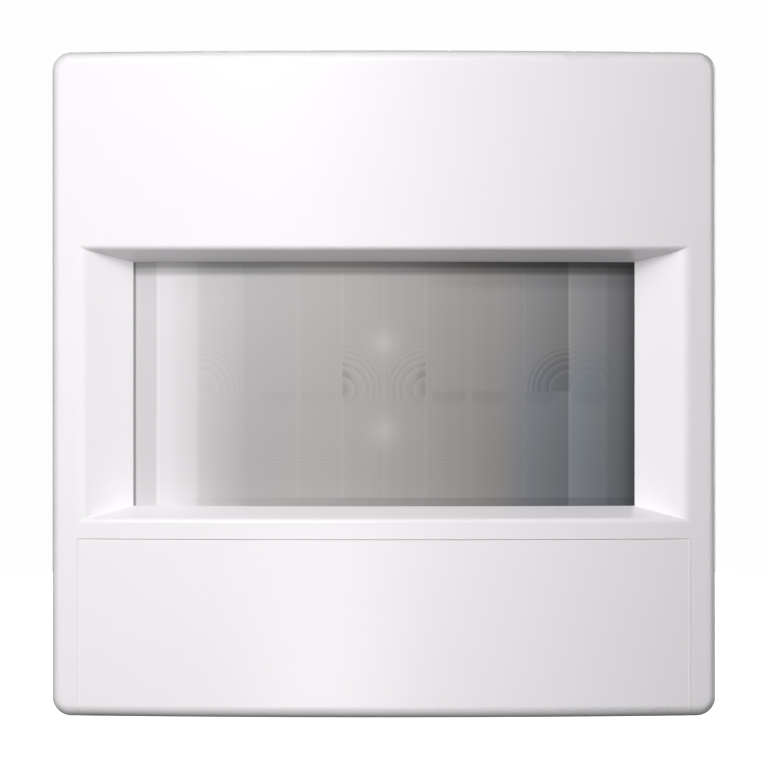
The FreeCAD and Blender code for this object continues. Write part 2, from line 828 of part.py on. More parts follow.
def dial(index, name):
    """A dial with a driver slot, on a hub that turns in the trimmer."""
    front = -(panel_front + S.dial_stand)
    shoulder = panel_y[1] + S.trimmer_clearance / 2
    tip = panel_y[1] + S.dial_hub_length
    edge = S.dial_slot_width / 3
    profile = [(ZERO, front), (S.dial_radius - edge, front)]
    profile += [(S.dial_radius, front + edge), (S.dial_radius, shoulder)]
    profile += [(S.dial_hub_radius, shoulder), (S.dial_hub_radius, tip), (ZERO, tip)]
    body = turned(name + "_dial_turned", profile, dial_across(index), 0, controls_z)
    half_slot, half_long = S.dial_slot_width / 2, S.dial_radius - S.dial_slot_end
    across = dial_across(index)
    slot = box(name + "_dial_slot", (across - half_slot, across + half_slot),
               (front - MARGIN, front + S.dial_slot_depth),
               (controls_z - half_long, controls_z + half_long))
    return cut(name + "_dial_cut", body, [slot])


for number, dial_name in enumerate(DIALS):
    keep(trimmer(number, dial_name), dial_name + "_trimmer")
    keep(dial(number, dial_name), dial_name + "_dial")


def switch_pieces():
    """The slide switch: a body with a channel, and a slider whose foot runs in it."""
    centre = (switch_across, controls_z)
    block = block_on("switch_block", centre, (S.switch_width, S.switch_height), trimmer_y)
    channel_width = S.slider_foot_width + 2 * S.slider_travel + 2 * S.dial_gap
    channel_height = S.slider_foot_height + 2 * S.running_gap
    floor = trimmer_y[0] + S.switch_channel_depth
    channel = block_on("switch_channel", centre, (channel_width, channel_height),
                       (trimmer_y[0] - MARGIN, floor))
    foot = block_on("slider_foot", centre, (S.slider_foot_width, S.slider_foot_height),
                    (trimmer_y[0] + S.running_gap, floor - S.running_gap))
    front = -(panel_front + S.dial_stand)
    finger = block_on("slider_finger", centre, (S.slider_width, S.slider_height),
                      (front, floor - S.running_gap))
    grip_half = S.slider_width / 4
    grips = []
    for index in (-1, 0, 1):
        x = switch_across + index * grip_half
        x_span = (x - grip_half / 4, x + grip_half / 4)
        z_span = (controls_z - S.slider_height, controls_z + S.slider_height)
        grips.append(box("slider_groove_%d" % (index + 2), x_span,
                         (front - MARGIN, front + S.dial_gap), z_span))
    slider = cut("slider_finished", fused("slider_blank", [foot, finger]), grips)
    return cut("switch_finished", block, [channel]), slider


switch_body, switch_knob = switch_pieces()
keep(switch_body, "mode_switch_body")
keep(switch_knob, "mode_switch_knob")

# The control board carries the trimmers and the switch, and a header joins it to the main board.
control_board_y = (trimmer_y[1], trimmer_y[1] + S.control_board_thickness)
board_y = (S.board_front, S.board_front + S.board_thickness)
HEADER_PINS = 5


# The control board reaches from the levers down to the recess's floor, and the header hangs
# from its upper edge.
control_board_z = (seat_bottom + 2 * S.fit_gap,
                   lever_centre - S.arm_thickness / 2 - S.lever_clearance)
control_board_half = boss_across - S.boss_radius - S.control_board_gap
header_z = control_board_z[1] - S.header_height / 2


def header_across(index):
    return (index - (HEADER_PINS - 1) / 2) * S.header_spacing


def header_rods(name, radius, span):
    return [rod("%s_%d" % (name, index + 1), radius, span, (header_across(index), header_z), "Y")
            for index in range(HEADER_PINS)]


control_blank = plate("control_board_plate", (-control_board_half, control_board_half),
                      control_board_y, control_board_z)
control_holes = header_rods("control_board_hole", S.header_pin_radius + S.screw_gap,
                            (control_board_y[0] - MARGIN, control_board_y[1] + MARGIN))
keep(cut("control_board_drilled", control_blank, control_holes), "control_board")

header_width = HEADER_PINS * S.header_spacing
header_blank = block_on("header_block", (ZERO, header_z),
                        (header_width, S.header_height), (control_board_y[1], board_y[0]))
header_holes = header_rods("header_hole", S.header_pin_radius + S.screw_gap,
                           (control_board_y[1] - MARGIN, board_y[0] + MARGIN))
keep(cut("header_drilled", header_blank, header_holes), "board_header")
header_tips = (control_board_y[0], board_y[1] + S.control_board_thickness)
keep(group("header_pins_group", header_rods("header_pin", S.header_pin_radius, header_tips)),
     "board_header_pins")

# Two infrared sensors look out to the left and right, each turned away from the middle.
sensor_y = -S.sensor_inset
LEADS = 3


def sensor_place(side):
    return side * S.sensor_across, sensor_y, window_z


def sensor_turned(name, side, profile):
    return turned(name, profile, *sensor_place(side), angle=side * number_of(S.sensor_turn_angle))


def sensor_can(name, side):
    """A metal can on a flange, with a shallow seat for its filter window."""
    top = -S.can_height
    rim = S.can_radius + S.can_flange_rim
    profile = [(ZERO, ZERO), (rim, ZERO)]
    profile += [(rim, -S.can_flange_height), (S.can_radius, -S.can_flange_height)]
    profile += [(S.can_radius, top + S.lead_radius), (S.can_radius - S.lead_radius, top)]
    profile += [(ZERO, top)]
    body = sensor_turned(name + "_can", side, profile)
    seat = new_sketch(name + "_filter_seat", body, "XZ_Plane", S.can_height)
    half_across, half_up = S.filter_width / 2, S.filter_height / 2
    draw_outline(seat, rectangle((-half_across, half_across), (-half_up, half_up)))
    pocket(body, seat, S.filter_depth)
    return body


def sensor_filter(name, side):
    """The dark filter window that sits in the can's top."""
    body = new_body(name + "_filter")
    sketch = new_sketch(name + "_filter_outline", body, "XZ_Plane", S.can_height - S.filter_depth)
    half_across, half_up = S.filter_width / 2, S.filter_height / 2
    draw_outline(sketch, rectangle((-half_across, half_across), (-half_up, half_up)))
    pad(body, sketch, S.filter_depth)
    turn = (FreeCAD.Vector(0, 0, 1), side * number_of(S.sensor_turn_angle))
    return place(body, *sensor_place(side), turn)


def lead_rods(name, radius, length):
    """Straight leads along both sensors' axes, from the cans back to the board."""
    rods = []
    for side in (-1, 1):
        for index in range(LEADS):
            angle = math.radians(QUARTER + index * 4 * QUARTER / LEADS)
            profile = [(ZERO, ZERO), (radius, ZERO), (radius, length), (ZERO, length)]
            turn = math.radians(side * number_of(S.sensor_turn_angle))
            offset = S.lead_circle * math.cos(angle)
            x = side * S.sensor_across + offset * math.cos(turn)
            y = sensor_y + offset * math.sin(turn)
            z = window_z + S.lead_circle * math.sin(angle)
            label = "%s_%s_%d" % (name, "left" if side < 0 else "right", index + 1)
            rods.append(turned(label, profile, x, y, z, angle=side * number_of(S.sensor_turn_angle)))
    return rods


for side_name, side_sign in (("left", -1), ("right", 1)):
    keep(sensor_can(side_name, side_sign), side_name + "_pir_sensor")
    keep(sensor_filter(side_name, side_sign), side_name + "_pir_filter")

lead_slant = 1 / math.cos(math.radians(number_of(S.sensor_turn_angle)))
lead_reach = S.board_front + S.board_thickness + S.sensor_inset + S.lead_circle / 2 + S.lead_radius
lead_length = lead_reach * lead_slant
keep(group("sensor_leads_group", lead_rods("sensor_lead", S.lead_radius, lead_length)),
     "sensor_leads")

# The sensor holder stands on the main board. Its wedges carry the cans and its brackets the
# shutters, which swing about stubs in them.
holder_y = (board_y[0] - S.holder_thickness, board_y[0])
bracket_up = shutter_half + S.arm_thickness + S.fit_gap


def bracket_half(side):
    """One bracket plate with a round hole for each shutter."""
    low, high = bracket_up, bracket_up + S.bracket_thickness
    z = (window_z + low, window_z + high) if side > 0 else (window_z - high, window_z - low)
    half = S.bracket_width / 2
    name = "holder_bracket_%s" % ("top" if side > 0 else "bottom")
    slab = box(name, (-half, half), (-S.bracket_reach, holder_y[1]), z)
    journal = S.stub_radius if side > 0 else S.shutter_hub_radius
    holes = [rod(name + "_hole_%d" % (index + 1), journal + S.running_gap,
                 (z[0] - MARGIN, z[1] + MARGIN), (across * S.shutter_across, ZERO), "Z")
             for index, across in enumerate((-1, 1))]
    return cut(name + "_drilled", slab, holes)


def sensor_holder():
    half, half_up = S.holder_width / 2, S.holder_height / 2
    z = (window_z - half_up, window_z + half_up)
    back = plate("holder_back", (-half, half), holder_y, z)
    wedges = []
    for side in (-1, 1):
        length = (holder_y[1] + S.sensor_inset) * 2
        radius = S.can_radius
        profile = [(ZERO, ZERO), (radius, ZERO), (radius, length), (ZERO, length)]
        wedges.append(sensor_turned("holder_wedge_%d" % (side + 2), side, profile))
    reach = S.can_height + S.can_radius
    limit = box("holder_limit", (-half, half), (-reach, holder_y[1]), z)
    stands = common("holder_stands", fused("holder_wedges", wedges), limit)
    pieces = [back, stands, bracket_half(1), bracket_half(-1)]
    holes = lead_rods("holder_lead_hole", S.lead_radius + S.fit_gap, lead_length)
    led_hole = rod("holder_led_hole", S.led_radius + S.fit_gap, (-reach, board_y[0] + MARGIN),
                   (ZERO, window_z + S.led_height), "Y")
    photo_hole = rod("holder_photo_hole", S.photodiode_radius + S.fit_gap,
                     (-reach, board_y[0] + MARGIN), (ZERO, window_z - S.led_height), "Y")
    return cut("holder_finished", fused("holder_blank", pieces), holes + [led_hole, photo_hole])


keep(sensor_holder(), "sensor_holder")


def domed(name, radius, up, tip):
    """A round indicator or photodiode with a domed tip, standing on the main board."""
    rod_part = rod(name + "_stem", radius, (tip, board_y[0]), (ZERO, up), "Y")
    dome = doc.addObject("Part::Sphere", name + "_dome")
    bind(dome, "Radius", radius)
    place(dome, ZERO, tip, up)
    return fused(name + "_domed", [rod_part, dome])


keep(domed("status_led", S.led_radius, window_z + S.led_height, -S.bracket_reach), "status_led")
keep(domed("light_sensor", S.photodiode_radius, window_z - S.led_height, ZERO), "light_sensor")


# The shutters swing just behind the lens.
shutter_radius = -(lens_apex + S.lens_thickness + S.shutter_gap)
shutter_z = (window_z - shutter_half, window_z + shutter_half)


def shutter(side):
    """A curved blade on two arms. The lower arm's hub runs down to a lever for a fingertip."""
    name = "left" if side < 0 else "right"
    pivot = (side * S.shutter_across, ZERO)
    full = (-half_height, half_height)
    ring = rod(name + "_blade_outer", shutter_radius, shutter_z, pivot, "Z")
    bore = rod(name + "_blade_bore", shutter_radius - S.shutter_wall, full, pivot, "Z")
    first = number_of(S.shutter_start_angle)
    middle = first + number_of(S.shutter_sweep_angle) / 2
    last = first + number_of(S.shutter_sweep_angle)
    sector = new_body(name + "_sector")
    sketch = new_sketch(name + "_sector_plan", sector, height=-half_height)
    far = shutter_radius * 2
    corners = [(ZERO, ZERO)]
    for angle in (first, middle, last):
        turn = math.radians(angle)
        corners.append((side * far * math.sin(turn), -far * math.cos(turn)))
    draw_outline(sketch, corners if side > 0 else corners[::-1])
    pad(sector, sketch, S.cover_height)
    place(sector, *pivot, ZERO)
    pieces = [common(name + "_blade", cut(name + "_blade_ring", ring, [bore]), sector)]
    lower_arm = shutter_z[0] - S.arm_thickness
    for level, low in (("top", shutter_z[1]), ("bottom", lower_arm)):
        label = "%s_%s" % (name, level)
        arm = new_body(label + "_arm")
        plan = new_sketch(label + "_arm_plan", arm, height=low)
        half_arm = S.arm_width / 2
        length = shutter_radius - S.shutter_wall / 2
        draw_outline(plan, rectangle((ZERO, length), (-half_arm, half_arm)))
        pad(arm, plan, S.arm_thickness)
        place(arm, *pivot, ZERO, (FreeCAD.Vector(0, 0, 1), FORWARDS + side * middle))
        edge = rod(label + "_shoe", shutter_radius, (low, low + S.arm_thickness), pivot, "Z")
        shoe_ring = cut(label + "_shoe_ring", edge, [bore])
        pieces += [arm, common(label + "_rim", shoe_ring, sector)]
    top_hub = (shutter_z[1], window_z + bracket_up)
    pieces.append(rod(name + "_top_hub", S.shutter_hub_radius, top_hub, pivot, "Z"))
    stub = (shutter_z[1], window_z + bracket_up + S.bracket_thickness)
    pieces.append(rod(name + "_stub", S.stub_radius, stub, pivot, "Z"))
    lever_bottom = lever_centre - S.arm_thickness / 2
    column = (lever_bottom, shutter_z[0])
    pieces.append(rod(name + "_column", S.shutter_hub_radius, column, pivot, "Z"))
    lever = new_body(name + "_lever")
    plan = new_sketch(name + "_lever_plan", lever, height=lever_bottom)
    half_lever = S.lever_width / 2
    lever_length = panel_front + S.lever_stand
    draw_outline(plan, rectangle((ZERO, lever_length), (-half_lever, half_lever)))
    pad(lever, plan, S.arm_thickness)
    direction = FORWARDS + side * number_of(S.shutter_swing_angle) / 2
    place(lever, *pivot, ZERO, (FreeCAD.Vector(0, 0, 1), direction))
    return fused(name + "_shutter_fused", pieces + [lever])


keep(shutter(-1), "left_shutter")
keep(shutter(1), "right_shutter")

# The main board stands on four posts of the rear housing. Its parts are on the rear face, and
# the plug lies below the sensors, clear of their leads.
box_half = half_width - S.box_inset
box_half_up = half_height - S.box_inset
board_half = box_half - S.box_wall - S.board_gap
board_half_up = box_half_up - S.box_wall - S.board_gap
plug_centre = (ZERO, window_z - S.plug_drop)


def post_places():
    for side in (-1, 1):
        for level in (-1, 1):
            yield side * (board_half - S.post_inset), level * (board_half_up - S.post_inset)


def contact_places():
    for side in (-1, 1):
        for level in (-1, 1):
            yield side * S.pin_spacing_across / 2, plug_centre[1] + level * S.pin_spacing_up / 2


board_blank = plate("board_plate", (-board_half, board_half), board_y,
                    (-board_half_up, board_half_up))
board_reach = (board_y[0] - MARGIN, board_y[1] + MARGIN)
board_holes = [rod("board_hole_%d" % (index + 1), S.board_screw_radius + S.fit_gap, board_reach,
                   where, "Y") for index, where in enumerate(post_places())]
board_holes += [rod("board_contact_hole_%d" % (index + 1), S.contact_tail_radius + S.screw_gap,
                    board_reach, where, "Y") for index, where in enumerate(contact_places())]
board_holes += header_rods("board_header_hole", S.header_pin_radius + S.screw_gap, board_reach)
board_holes += lead_rods("board_lead_hole", S.lead_radius + S.screw_gap, lead_length + MARGIN)
keep(cut("board_drilled", board_blank, board_holes), "main_circuit_board")

box_back = S.box_depth
box_inner_back = S.box_depth - S.box_wall


def component(name, across, up, size, depth):
    """A packaged part on the board's rear face."""
    return block_on(name, (across, up), size, (board_y[1], board_y[1] + depth))


keep(component("controller_chip", -S.controller_across, board_half_up - S.controller_below,
               (S.controller_width, S.controller_width), S.controller_depth), "microcontroller")
keep(component("regulator_package", S.regulator_across, board_half_up - S.regulator_below,
               (S.regulator_width, S.regulator_height), S.regulator_depth), "voltage_regulator")
keep(component("crystal_can", S.crystal_inset - board_half, board_half_up - S.crystal_below,
               (S.crystal_width, S.crystal_height), S.crystal_depth), "quartz_crystal")
keep(component("amplifier_package", ZERO, board_half_up - S.amplifier_below,
               (S.amplifier_width, S.amplifier_height), S.amplifier_depth), "signal_amplifier")

capacitor_across = S.plug_width / 2 + S.plug_foot + S.capacitor_gap + S.capacitor_radius
can_top = S.capacitor_depth
can_shoulder = S.capacitor_depth - S.capacitor_bevel
capacitor_profile = [(ZERO, ZERO), (S.capacitor_radius, ZERO), (S.capacitor_radius, can_shoulder)]
capacitor_profile += [(S.capacitor_radius - S.capacitor_bevel, can_top), (ZERO, can_top)]
keep(turned("capacitor_turned", capacitor_profile, capacitor_across, board_y[1],
            window_z - S.capacitor_drop), "filter_capacitor")

CHIP_ROWS = 2
CHIPS_IN_ROW = 6
chips = []
for row in range(CHIP_ROWS):
    for column in range(CHIPS_IN_ROW):
        chip_across = (column - (CHIPS_IN_ROW - 1) / 2) * S.chip_spacing
        chip_up = board_half_up - S.chip_inset - row * S.chip_row_spacing
        chips.append(component("chip_%d_%d" % (row + 1, column + 1), chip_across, chip_up,
                               (S.chip_width, S.chip_height), S.chip_depth))
keep(group("chips_group", chips), "chip_components")


def is_corner(across, up):
    """Accepts the edges that run from front to back at these four corners."""
    return lambda middle, edge: near(abs(middle.x), across) and near(abs(middle.z), up)


def rear_housing():
    """A tray behind the cover: a flange inside the rim and a box that enters the socket."""
    edge, edge_up = inside - S.fit_gap, inside_up - S.fit_gap
    flange = plate("flange_plate", (-edge, edge), flange_y, (-edge_up, edge_up))
    flange_soft = rounded("flange_rounded", flange, (S.flange_round, is_corner(edge, edge_up)))
    tray = plate("box_block", (-box_half, box_half), (flange_y[0], box_back),
                 (-box_half_up, box_half_up))
    tray_soft = rounded("box_rounded", tray, (S.box_round, is_corner(box_half, box_half_up)))
    inner, inner_up = box_half - S.box_wall, box_half_up - S.box_wall
    hollow = box("box_hollow", (-inner, inner), (flange_y[0] - MARGIN, box_inner_back),
                 (-inner_up, inner_up))
    shell = cut("box_shell", fused("housing_blank", [flange_soft, tray_soft]), [hollow])
    post_y = (board_y[1], box_inner_back + MARGIN / 2)
    posts = [rod("housing_post_%d" % (index + 1), S.post_radius, post_y, where, "Y")
             for index, where in enumerate(post_places())]
    bores = [rod("housing_bore_%d" % (index + 1), S.board_screw_radius + S.screw_gap,
                 (board_y[1] - MARGIN, board_y[0] + S.board_screw_length + S.fit_gap), where, "Y")
             for index, where in enumerate(post_places())]
    shank = S.screw_radius + S.fit_gap
    head = S.screw_head_radius + S.screw_gap
    neck = flange_y[1] - (S.screw_head_radius - S.screw_radius)
    profile = [(ZERO, flange_y[1] + MARGIN), (head, flange_y[1] + MARGIN), (head, flange_y[1])]
    profile += [(shank, neck), (shank, flange_y[0] - MARGIN), (ZERO, flange_y[0] - MARGIN)]
    for index, (level, side, up) in enumerate(boss_places()):
        name = "housing_countersink_%d" % (index + 1)
        bores.append(turned(name, profile, side * boss_across, 0, up))
    size = (S.plug_width + 2 * S.fit_gap, S.plug_height + 2 * S.fit_gap)
    bores.append(block_on("housing_plug_hole", plug_centre, size,
                          (box_inner_back - MARGIN, box_back + MARGIN)))
    return cut("housing_finished", fused("housing_with_posts", [shell] + posts), bores)


keep(rear_housing(), "rear_housing")


def plug_block():
    """The contact carrier: a foot inside the housing and a nose through its rear wall."""
    size = (S.plug_width, S.plug_height)
    nose = block_on("plug_nose", plug_centre, size,
                    (box_inner_back - MARGIN, box_back + S.plug_stand))
    foot_size = (S.plug_width + 2 * S.plug_foot, S.plug_height + 2 * S.plug_foot)
    foot = block_on("plug_foot_plate", plug_centre, foot_size,
                    (box_inner_back - S.plug_foot, box_inner_back))
    stem = block_on("plug_stem", plug_centre, size, (board_y[1], box_inner_back))
    body = fused("plug_blank", [nose, foot, stem])
    reach = (board_y[1] - MARGIN, box_back + S.plug_stand + MARGIN)
    bore = S.contact_tail_radius + S.screw_gap
    holes = [rod("plug_hole_%d" % (index + 1), bore, reach, where, "Y")
             for index, where in enumerate(contact_places())]
    return cut("plug_drilled", body, holes)


keep(plug_block(), "plug_block")

# A contact pin's shoulder rests on the carrier, and its thinner tail runs on to the board.
contact_shoulder = box_back + S.plug_stand
contact_tip = contact_shoulder + S.contact_stand
contact_bevel = S.contact_radius / 2
pin_profile = [(ZERO, board_y[0]), (S.contact_tail_radius, board_y[0])]
pin_profile += [(S.contact_tail_radius, contact_shoulder), (S.contact_radius, contact_shoulder)]
pin_profile += [(S.contact_radius, contact_tip - contact_bevel), (contact_bevel, contact_tip)]
pin_profile += [(ZERO, contact_tip)]
contacts = []
for index, (contact_x, contact_z) in enumerate(contact_places()):
    contacts.append(turned("contact_%d" % (index + 1), pin_profile, contact_x, 0, contact_z))
keep(group("contacts_group", contacts), "contact_pins")


def retaining_spring(side):
    """A bent steel strip on the box's side that grips the socket's ring."""
    name = "spring_%s" % ("left" if side < 0 else "right")
    start, end = S.spring_front, box_back - S.spring_back
    strip, bulge, foot = S.spring_strip, S.spring_bulge, S.spring_foot
    slope = foot * 2
    outer = [(box_half, start), (box_half + strip, start), (box_half + strip, start + foot)]
    outer += [(box_half + strip + bulge, start + slope), (box_half + strip + bulge, end - slope)]
    outer += [(box_half + strip, end - foot), (box_half + strip, end), (box_half, end)]
    outer += [(box_half, end - foot), (box_half + bulge, end - slope)]
    outer += [(box_half + bulge, start + slope), (box_half, start + foot)]
    body = new_body(name)
    sketch = new_sketch(name + "_plan", body, height=-S.spring_width / 2)
    points = [(side * x, y) for x, y in outer]
    draw_outline(sketch, points if side > 0 else points[::-1])
    pad(body, sketch, S.spring_width)
    return body


keep(retaining_spring(-1), "left_retaining_spring")
keep(retaining_spring(1), "right_retaining_spring")


def housing_screws():
    """Four countersunk screws that hold the housing's flange to the cover's bosses."""
    head = flange_y[1]
    neck = head - (S.screw_head_radius - S.screw_radius)
    tip = head - S.screw_length
    point = S.screw_radius / 2
    profile = [(ZERO, head), (S.screw_head_radius, head), (S.screw_radius, neck)]
    profile += [(S.screw_radius, tip + point), (point, tip), (ZERO, tip)]
    return group("housing_screws_group", [
        turned("housing_screw_%d" % (index + 1), profile, side * boss_across, 0, up)
        for index, (level, side, up) in enumerate(boss_places())])


def board_screws():
    """Four pan head screws that hold the main board to the housing's posts."""
    seat = board_y[0]
    head = seat - S.board_screw_radius
    tip = seat + S.board_screw_length
    point = S.board_screw_radius / 2
    profile = [(ZERO, head), (S.board_screw_head - point, head), (S.board_screw_head, head + point)]
    profile += [(S.board_screw_head, seat), (S.board_screw_radius, seat)]
    profile += [(S.board_screw_radius, tip - point), (point, tip), (ZERO, tip)]
    return group("board_screws_group", [
        turned("board_screw_%d" % (index + 1), profile, across, 0, up)
        for index, (across, up) in enumerate(post_places())])


keep(housing_screws(), "housing_screws")
keep(board_screws(), "board_screws")

doc.recompute()
failed = [item.Name for item in doc.Objects if "Invalid" in item.State or "Error" in item.State]
if failed:
    raise RuntimeError("these objects failed: " + ", ".join(failed))
for part in parts:
    if part.Shape.isNull() or not part.Shape.isValid():
        raise RuntimeError(part.Label + " has no valid shape")

os.makedirs("parts", exist_ok=True)
for part in parts:
    part.Shape.exportStep("parts/%s.step" % part.Label)
    bounds = part.Shape.BoundBox
    print("%-24s %2d solid(s) %9.2f mm3  y %.2f to %.2f" % (
        part.Label, len(part.Shape.Solids), part.Shape.Volume, bounds.YMin, bounds.YMax))
print(len(parts), "nodes written")
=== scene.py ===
# %% [markdown]
# # A plug-on motion detector in Blender
#
# The solids come from CAD, as a fixed frame in metres: x to the right, y away from the viewer and
# z up. This lesson dresses them. It gives every part a finish of its own, makes a lens with real
# Fresnel grooves, prints the scale marks under the flap, and sets a camera and soft studio lights.
# Pieces go where the frame says, so nothing has to be fitted.

# %% Load the frame
import math

import bpy
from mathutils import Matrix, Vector


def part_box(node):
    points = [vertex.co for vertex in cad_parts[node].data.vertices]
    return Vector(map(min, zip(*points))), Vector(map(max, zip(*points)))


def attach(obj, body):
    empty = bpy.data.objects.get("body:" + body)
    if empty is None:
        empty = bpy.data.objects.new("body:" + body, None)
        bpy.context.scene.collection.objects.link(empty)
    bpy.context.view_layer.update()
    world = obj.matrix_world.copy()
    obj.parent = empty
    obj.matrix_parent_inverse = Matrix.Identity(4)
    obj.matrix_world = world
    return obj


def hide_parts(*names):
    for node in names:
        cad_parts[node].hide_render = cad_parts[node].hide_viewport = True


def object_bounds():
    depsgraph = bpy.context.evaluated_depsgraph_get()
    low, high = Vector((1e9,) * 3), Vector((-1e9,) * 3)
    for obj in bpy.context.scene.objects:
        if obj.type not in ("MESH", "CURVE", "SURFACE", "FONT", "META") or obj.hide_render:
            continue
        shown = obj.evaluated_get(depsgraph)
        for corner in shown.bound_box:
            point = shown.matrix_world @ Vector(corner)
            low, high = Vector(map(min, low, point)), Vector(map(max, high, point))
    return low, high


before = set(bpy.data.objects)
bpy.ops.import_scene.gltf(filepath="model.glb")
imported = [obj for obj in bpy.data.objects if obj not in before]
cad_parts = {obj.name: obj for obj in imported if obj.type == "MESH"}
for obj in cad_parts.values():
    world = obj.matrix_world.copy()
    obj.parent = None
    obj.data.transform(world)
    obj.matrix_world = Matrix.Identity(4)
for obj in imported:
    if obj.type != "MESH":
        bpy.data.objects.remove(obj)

cad_low, cad_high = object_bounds()
MM = 0.001


def in_mm(low, high):
    """The sides of a box in millimetres."""
    return [round((end - start) / MM, 1) for start, end in zip(low, high)]


print("solids:", len(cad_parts), "size in mm:", in_mm(cad_low, cad_high))

# %% [markdown]
# ## Node trees as sums
#
# Materials and Geometry Nodes are trees of small boxes. Wiring them by hand hides the idea behind
# them, so one class wraps an output socket and lets Python's own signs add the Math nodes. A stripe
# is then written as a sum and not as ten boxes. A second class adds every other node in one way:
# first its type, then its settings, then the values or links of its sockets.

# %% Wrap a socket


class Link:
    """One output of a node, so that a pattern can be written as a sum."""

    def __init__(self, maker, socket):
        self.maker = maker
        self.socket = socket

    def math(self, operation, first, second=0.0):
        """A Math node on two values."""
        settings = {"operation": operation}
        return self.maker.add("ShaderNodeMath", settings, {0: first, 1: second})

    def __add__(self, other):
        return self.math("ADD", self, other)

    def __radd__(self, other):
        return self.math("ADD", other, self)

    def __sub__(self, other):
        return self.math("SUBTRACT", self, other)

    def __rsub__(self, other):
        return self.math("SUBTRACT", other, self)

    def __mul__(self, other):
        return self.math("MULTIPLY", self, other)

    def __rmul__(self, other):
        return self.math("MULTIPLY", other, self)

    def __truediv__(self, other):
        return self.math("DIVIDE", self, other)

    def __mod__(self, other):
        return self.math("FLOORED_MODULO", self, other)

    def __pow__(self, other):
        return self.math("POWER", self, other)

    def __gt__(self, other):
        return self.math("GREATER_THAN", self, other)

    def __lt__(self, other):
        return self.math("LESS_THAN", self, other)

    def __neg__(self):
        return self.math("MULTIPLY", -1.0, self)

    def __abs__(self):
        return self.math("ABSOLUTE", self)


print("a link understands + - * / % ** > < and abs")

# %% Add any other node


class Maker:
    """Adds the nodes of one tree."""

    def __init__(self, tree):
        self.tree = tree

    def add(self, kind, settings=None, values=None, output=0):
        """A node of this kind, as the link of one of its outputs."""
        node = self.tree.nodes.new(kind)
        for name, value in (settings or {}).items():
            if name == "stops":
                self.set_stops(node.color_ramp, value)
            else:
                setattr(node, name, value)
        for key, value in (values or {}).items():
            if isinstance(value, Link):
                self.tree.links.new(value.socket, node.inputs[key])
            else:
                node.inputs[key].default_value = value
        return Link(self, node.outputs[output]) if len(node.outputs) else node

    def set_stops(self, ramp, stops):
        """Gives a ramp its stops, each a place from 0 to 1 and a colour."""
        while len(ramp.elements) < len(stops):
            ramp.elements.new(1.0)
        for element, (place, colour) in zip(ramp.elements, stops):
            element.position = place
            element.color = colour

    def part(self, vector, axis):
        """One number of a vector: axis 0 is x, 1 is y and 2 is z."""
        return self.add("ShaderNodeSeparateXYZ", None, {0: vector}, output=axis)

    def vector(self, x, y, z):
        """A vector from three numbers."""
        return self.add("ShaderNodeCombineXYZ", None, {0: x, 1: y, 2: z})

    def scaled(self, vector, shares):
        """A vector with each of its numbers multiplied by its own share."""
        settings = {"operation": "MULTIPLY"}
        return self.add("ShaderNodeVectorMath", settings, {0: vector, 1: shares})

    def noise(self, where, size, detail=3.0):
        """Soft random values, with blotches of about this size in millimetres."""
        values = {"Vector": where, "Scale": 1 / (size * MM), "Detail": detail}
        return self.add("ShaderNodeTexNoise", {"noise_dimensions": "3D"}, values)

    def between(self, share, first, second):
        """A colour between two others."""
        settings = {"data_type": "RGBA", "clamp_factor": True}
        return self.add("ShaderNodeMix", settings, {0: share, 6: first, 7: second}, output=2)

    def tinted(self, colour, tint):
        """A colour multiplied by another."""
        settings = {"data_type": "RGBA", "blend_type": "MULTIPLY"}
        return self.add("ShaderNodeMix", settings, {0: 1.0, 6: colour, 7: tint}, output=2)

    def ease(self, value, start, end):
        """Rises smoothly from 0 to 1 while the value goes from start to end."""
        settings = {"interpolation_type": "SMOOTHSTEP", "clamp": True}
        return self.add("ShaderNodeMapRange", settings, {0: value, 1: start, 2: end})

    def swell(self, value, start, end, height):
        """Rises smoothly from 0 to this height while the value goes from start to end."""
        return self.ease(value, start, end) * height

    def band(self, value, start, end, edge):
        """1 between start and end, with soft edges."""
        rise = self.ease(value, start - edge, start + edge)
        return rise * (1.0 - self.ease(value, end - edge, end + edge))


print("sockets add up: material patterns are written as sums from here on")

# %% [markdown]
# ## One way to make a finish
#
# Each real material has a colour that varies a little, a gloss that varies with it, and a fine
# relief. So every finish starts from the same three sums: the colour, the roughness and the height.
# They read Object coordinates, which stay with the part when it moves, and never Generated ones.
# The pattern is written by a small function for each material and handed to this maker.

# %% Make a finish
finishes = {}


def grey(value):
    """A neutral colour."""
    return (value, value, value, 1.0)


def empty_tree(owner):
    """The maker of a material's or a sky's tree, with nothing in it yet."""
    owner.use_nodes = True
    owner.node_tree.nodes.clear()
    return Maker(owner.node_tree)


def make_finish(name, pattern, bump, metallic=0.0, coat=0.0, specular=0.5):
    """A material from a pattern's colour, roughness and height; bump is its relief in mm."""
    material = bpy.data.materials.new(name)
    maker = empty_tree(material)
    where = maker.add("ShaderNodeTexCoord", output="Object")
    colour, roughness, height = pattern(maker, where)
    relief = {"Strength": 1.0, "Distance": bump * MM, "Height": height}
    shader = {"Base Color": colour, "Roughness": roughness, "Metallic": metallic,
              "Coat Weight": coat, "Specular IOR Level": specular,
              "Normal": maker.add("ShaderNodeBump", None, relief)}
    surface = maker.add("ShaderNodeBsdfPrincipled", None, shader)
    maker.add("ShaderNodeOutputMaterial", None, {"Surface": surface})
    finishes[name] = material
    return material


print("a finish is a colour, a roughness and a height")

# %% The pattern of a moulded plastic
GRAIN_IN_GLOSS = 0.08


def moulded(first, second, blotch, gloss, grain):
    """Faint blotches between two colours and a fine grain; blotch and grain are sizes in mm."""

    def pattern(maker, where):
        cloud = maker.noise(where, blotch)
        fine = maker.noise(where, grain, detail=2.0)
        colour = maker.between(cloud, first, second)
        return colour, gloss + (fine - 0.5) * GRAIN_IN_GLOSS, fine

    return pattern


print("the grain of a moulding changes its roughness by", GRAIN_IN_GLOSS)

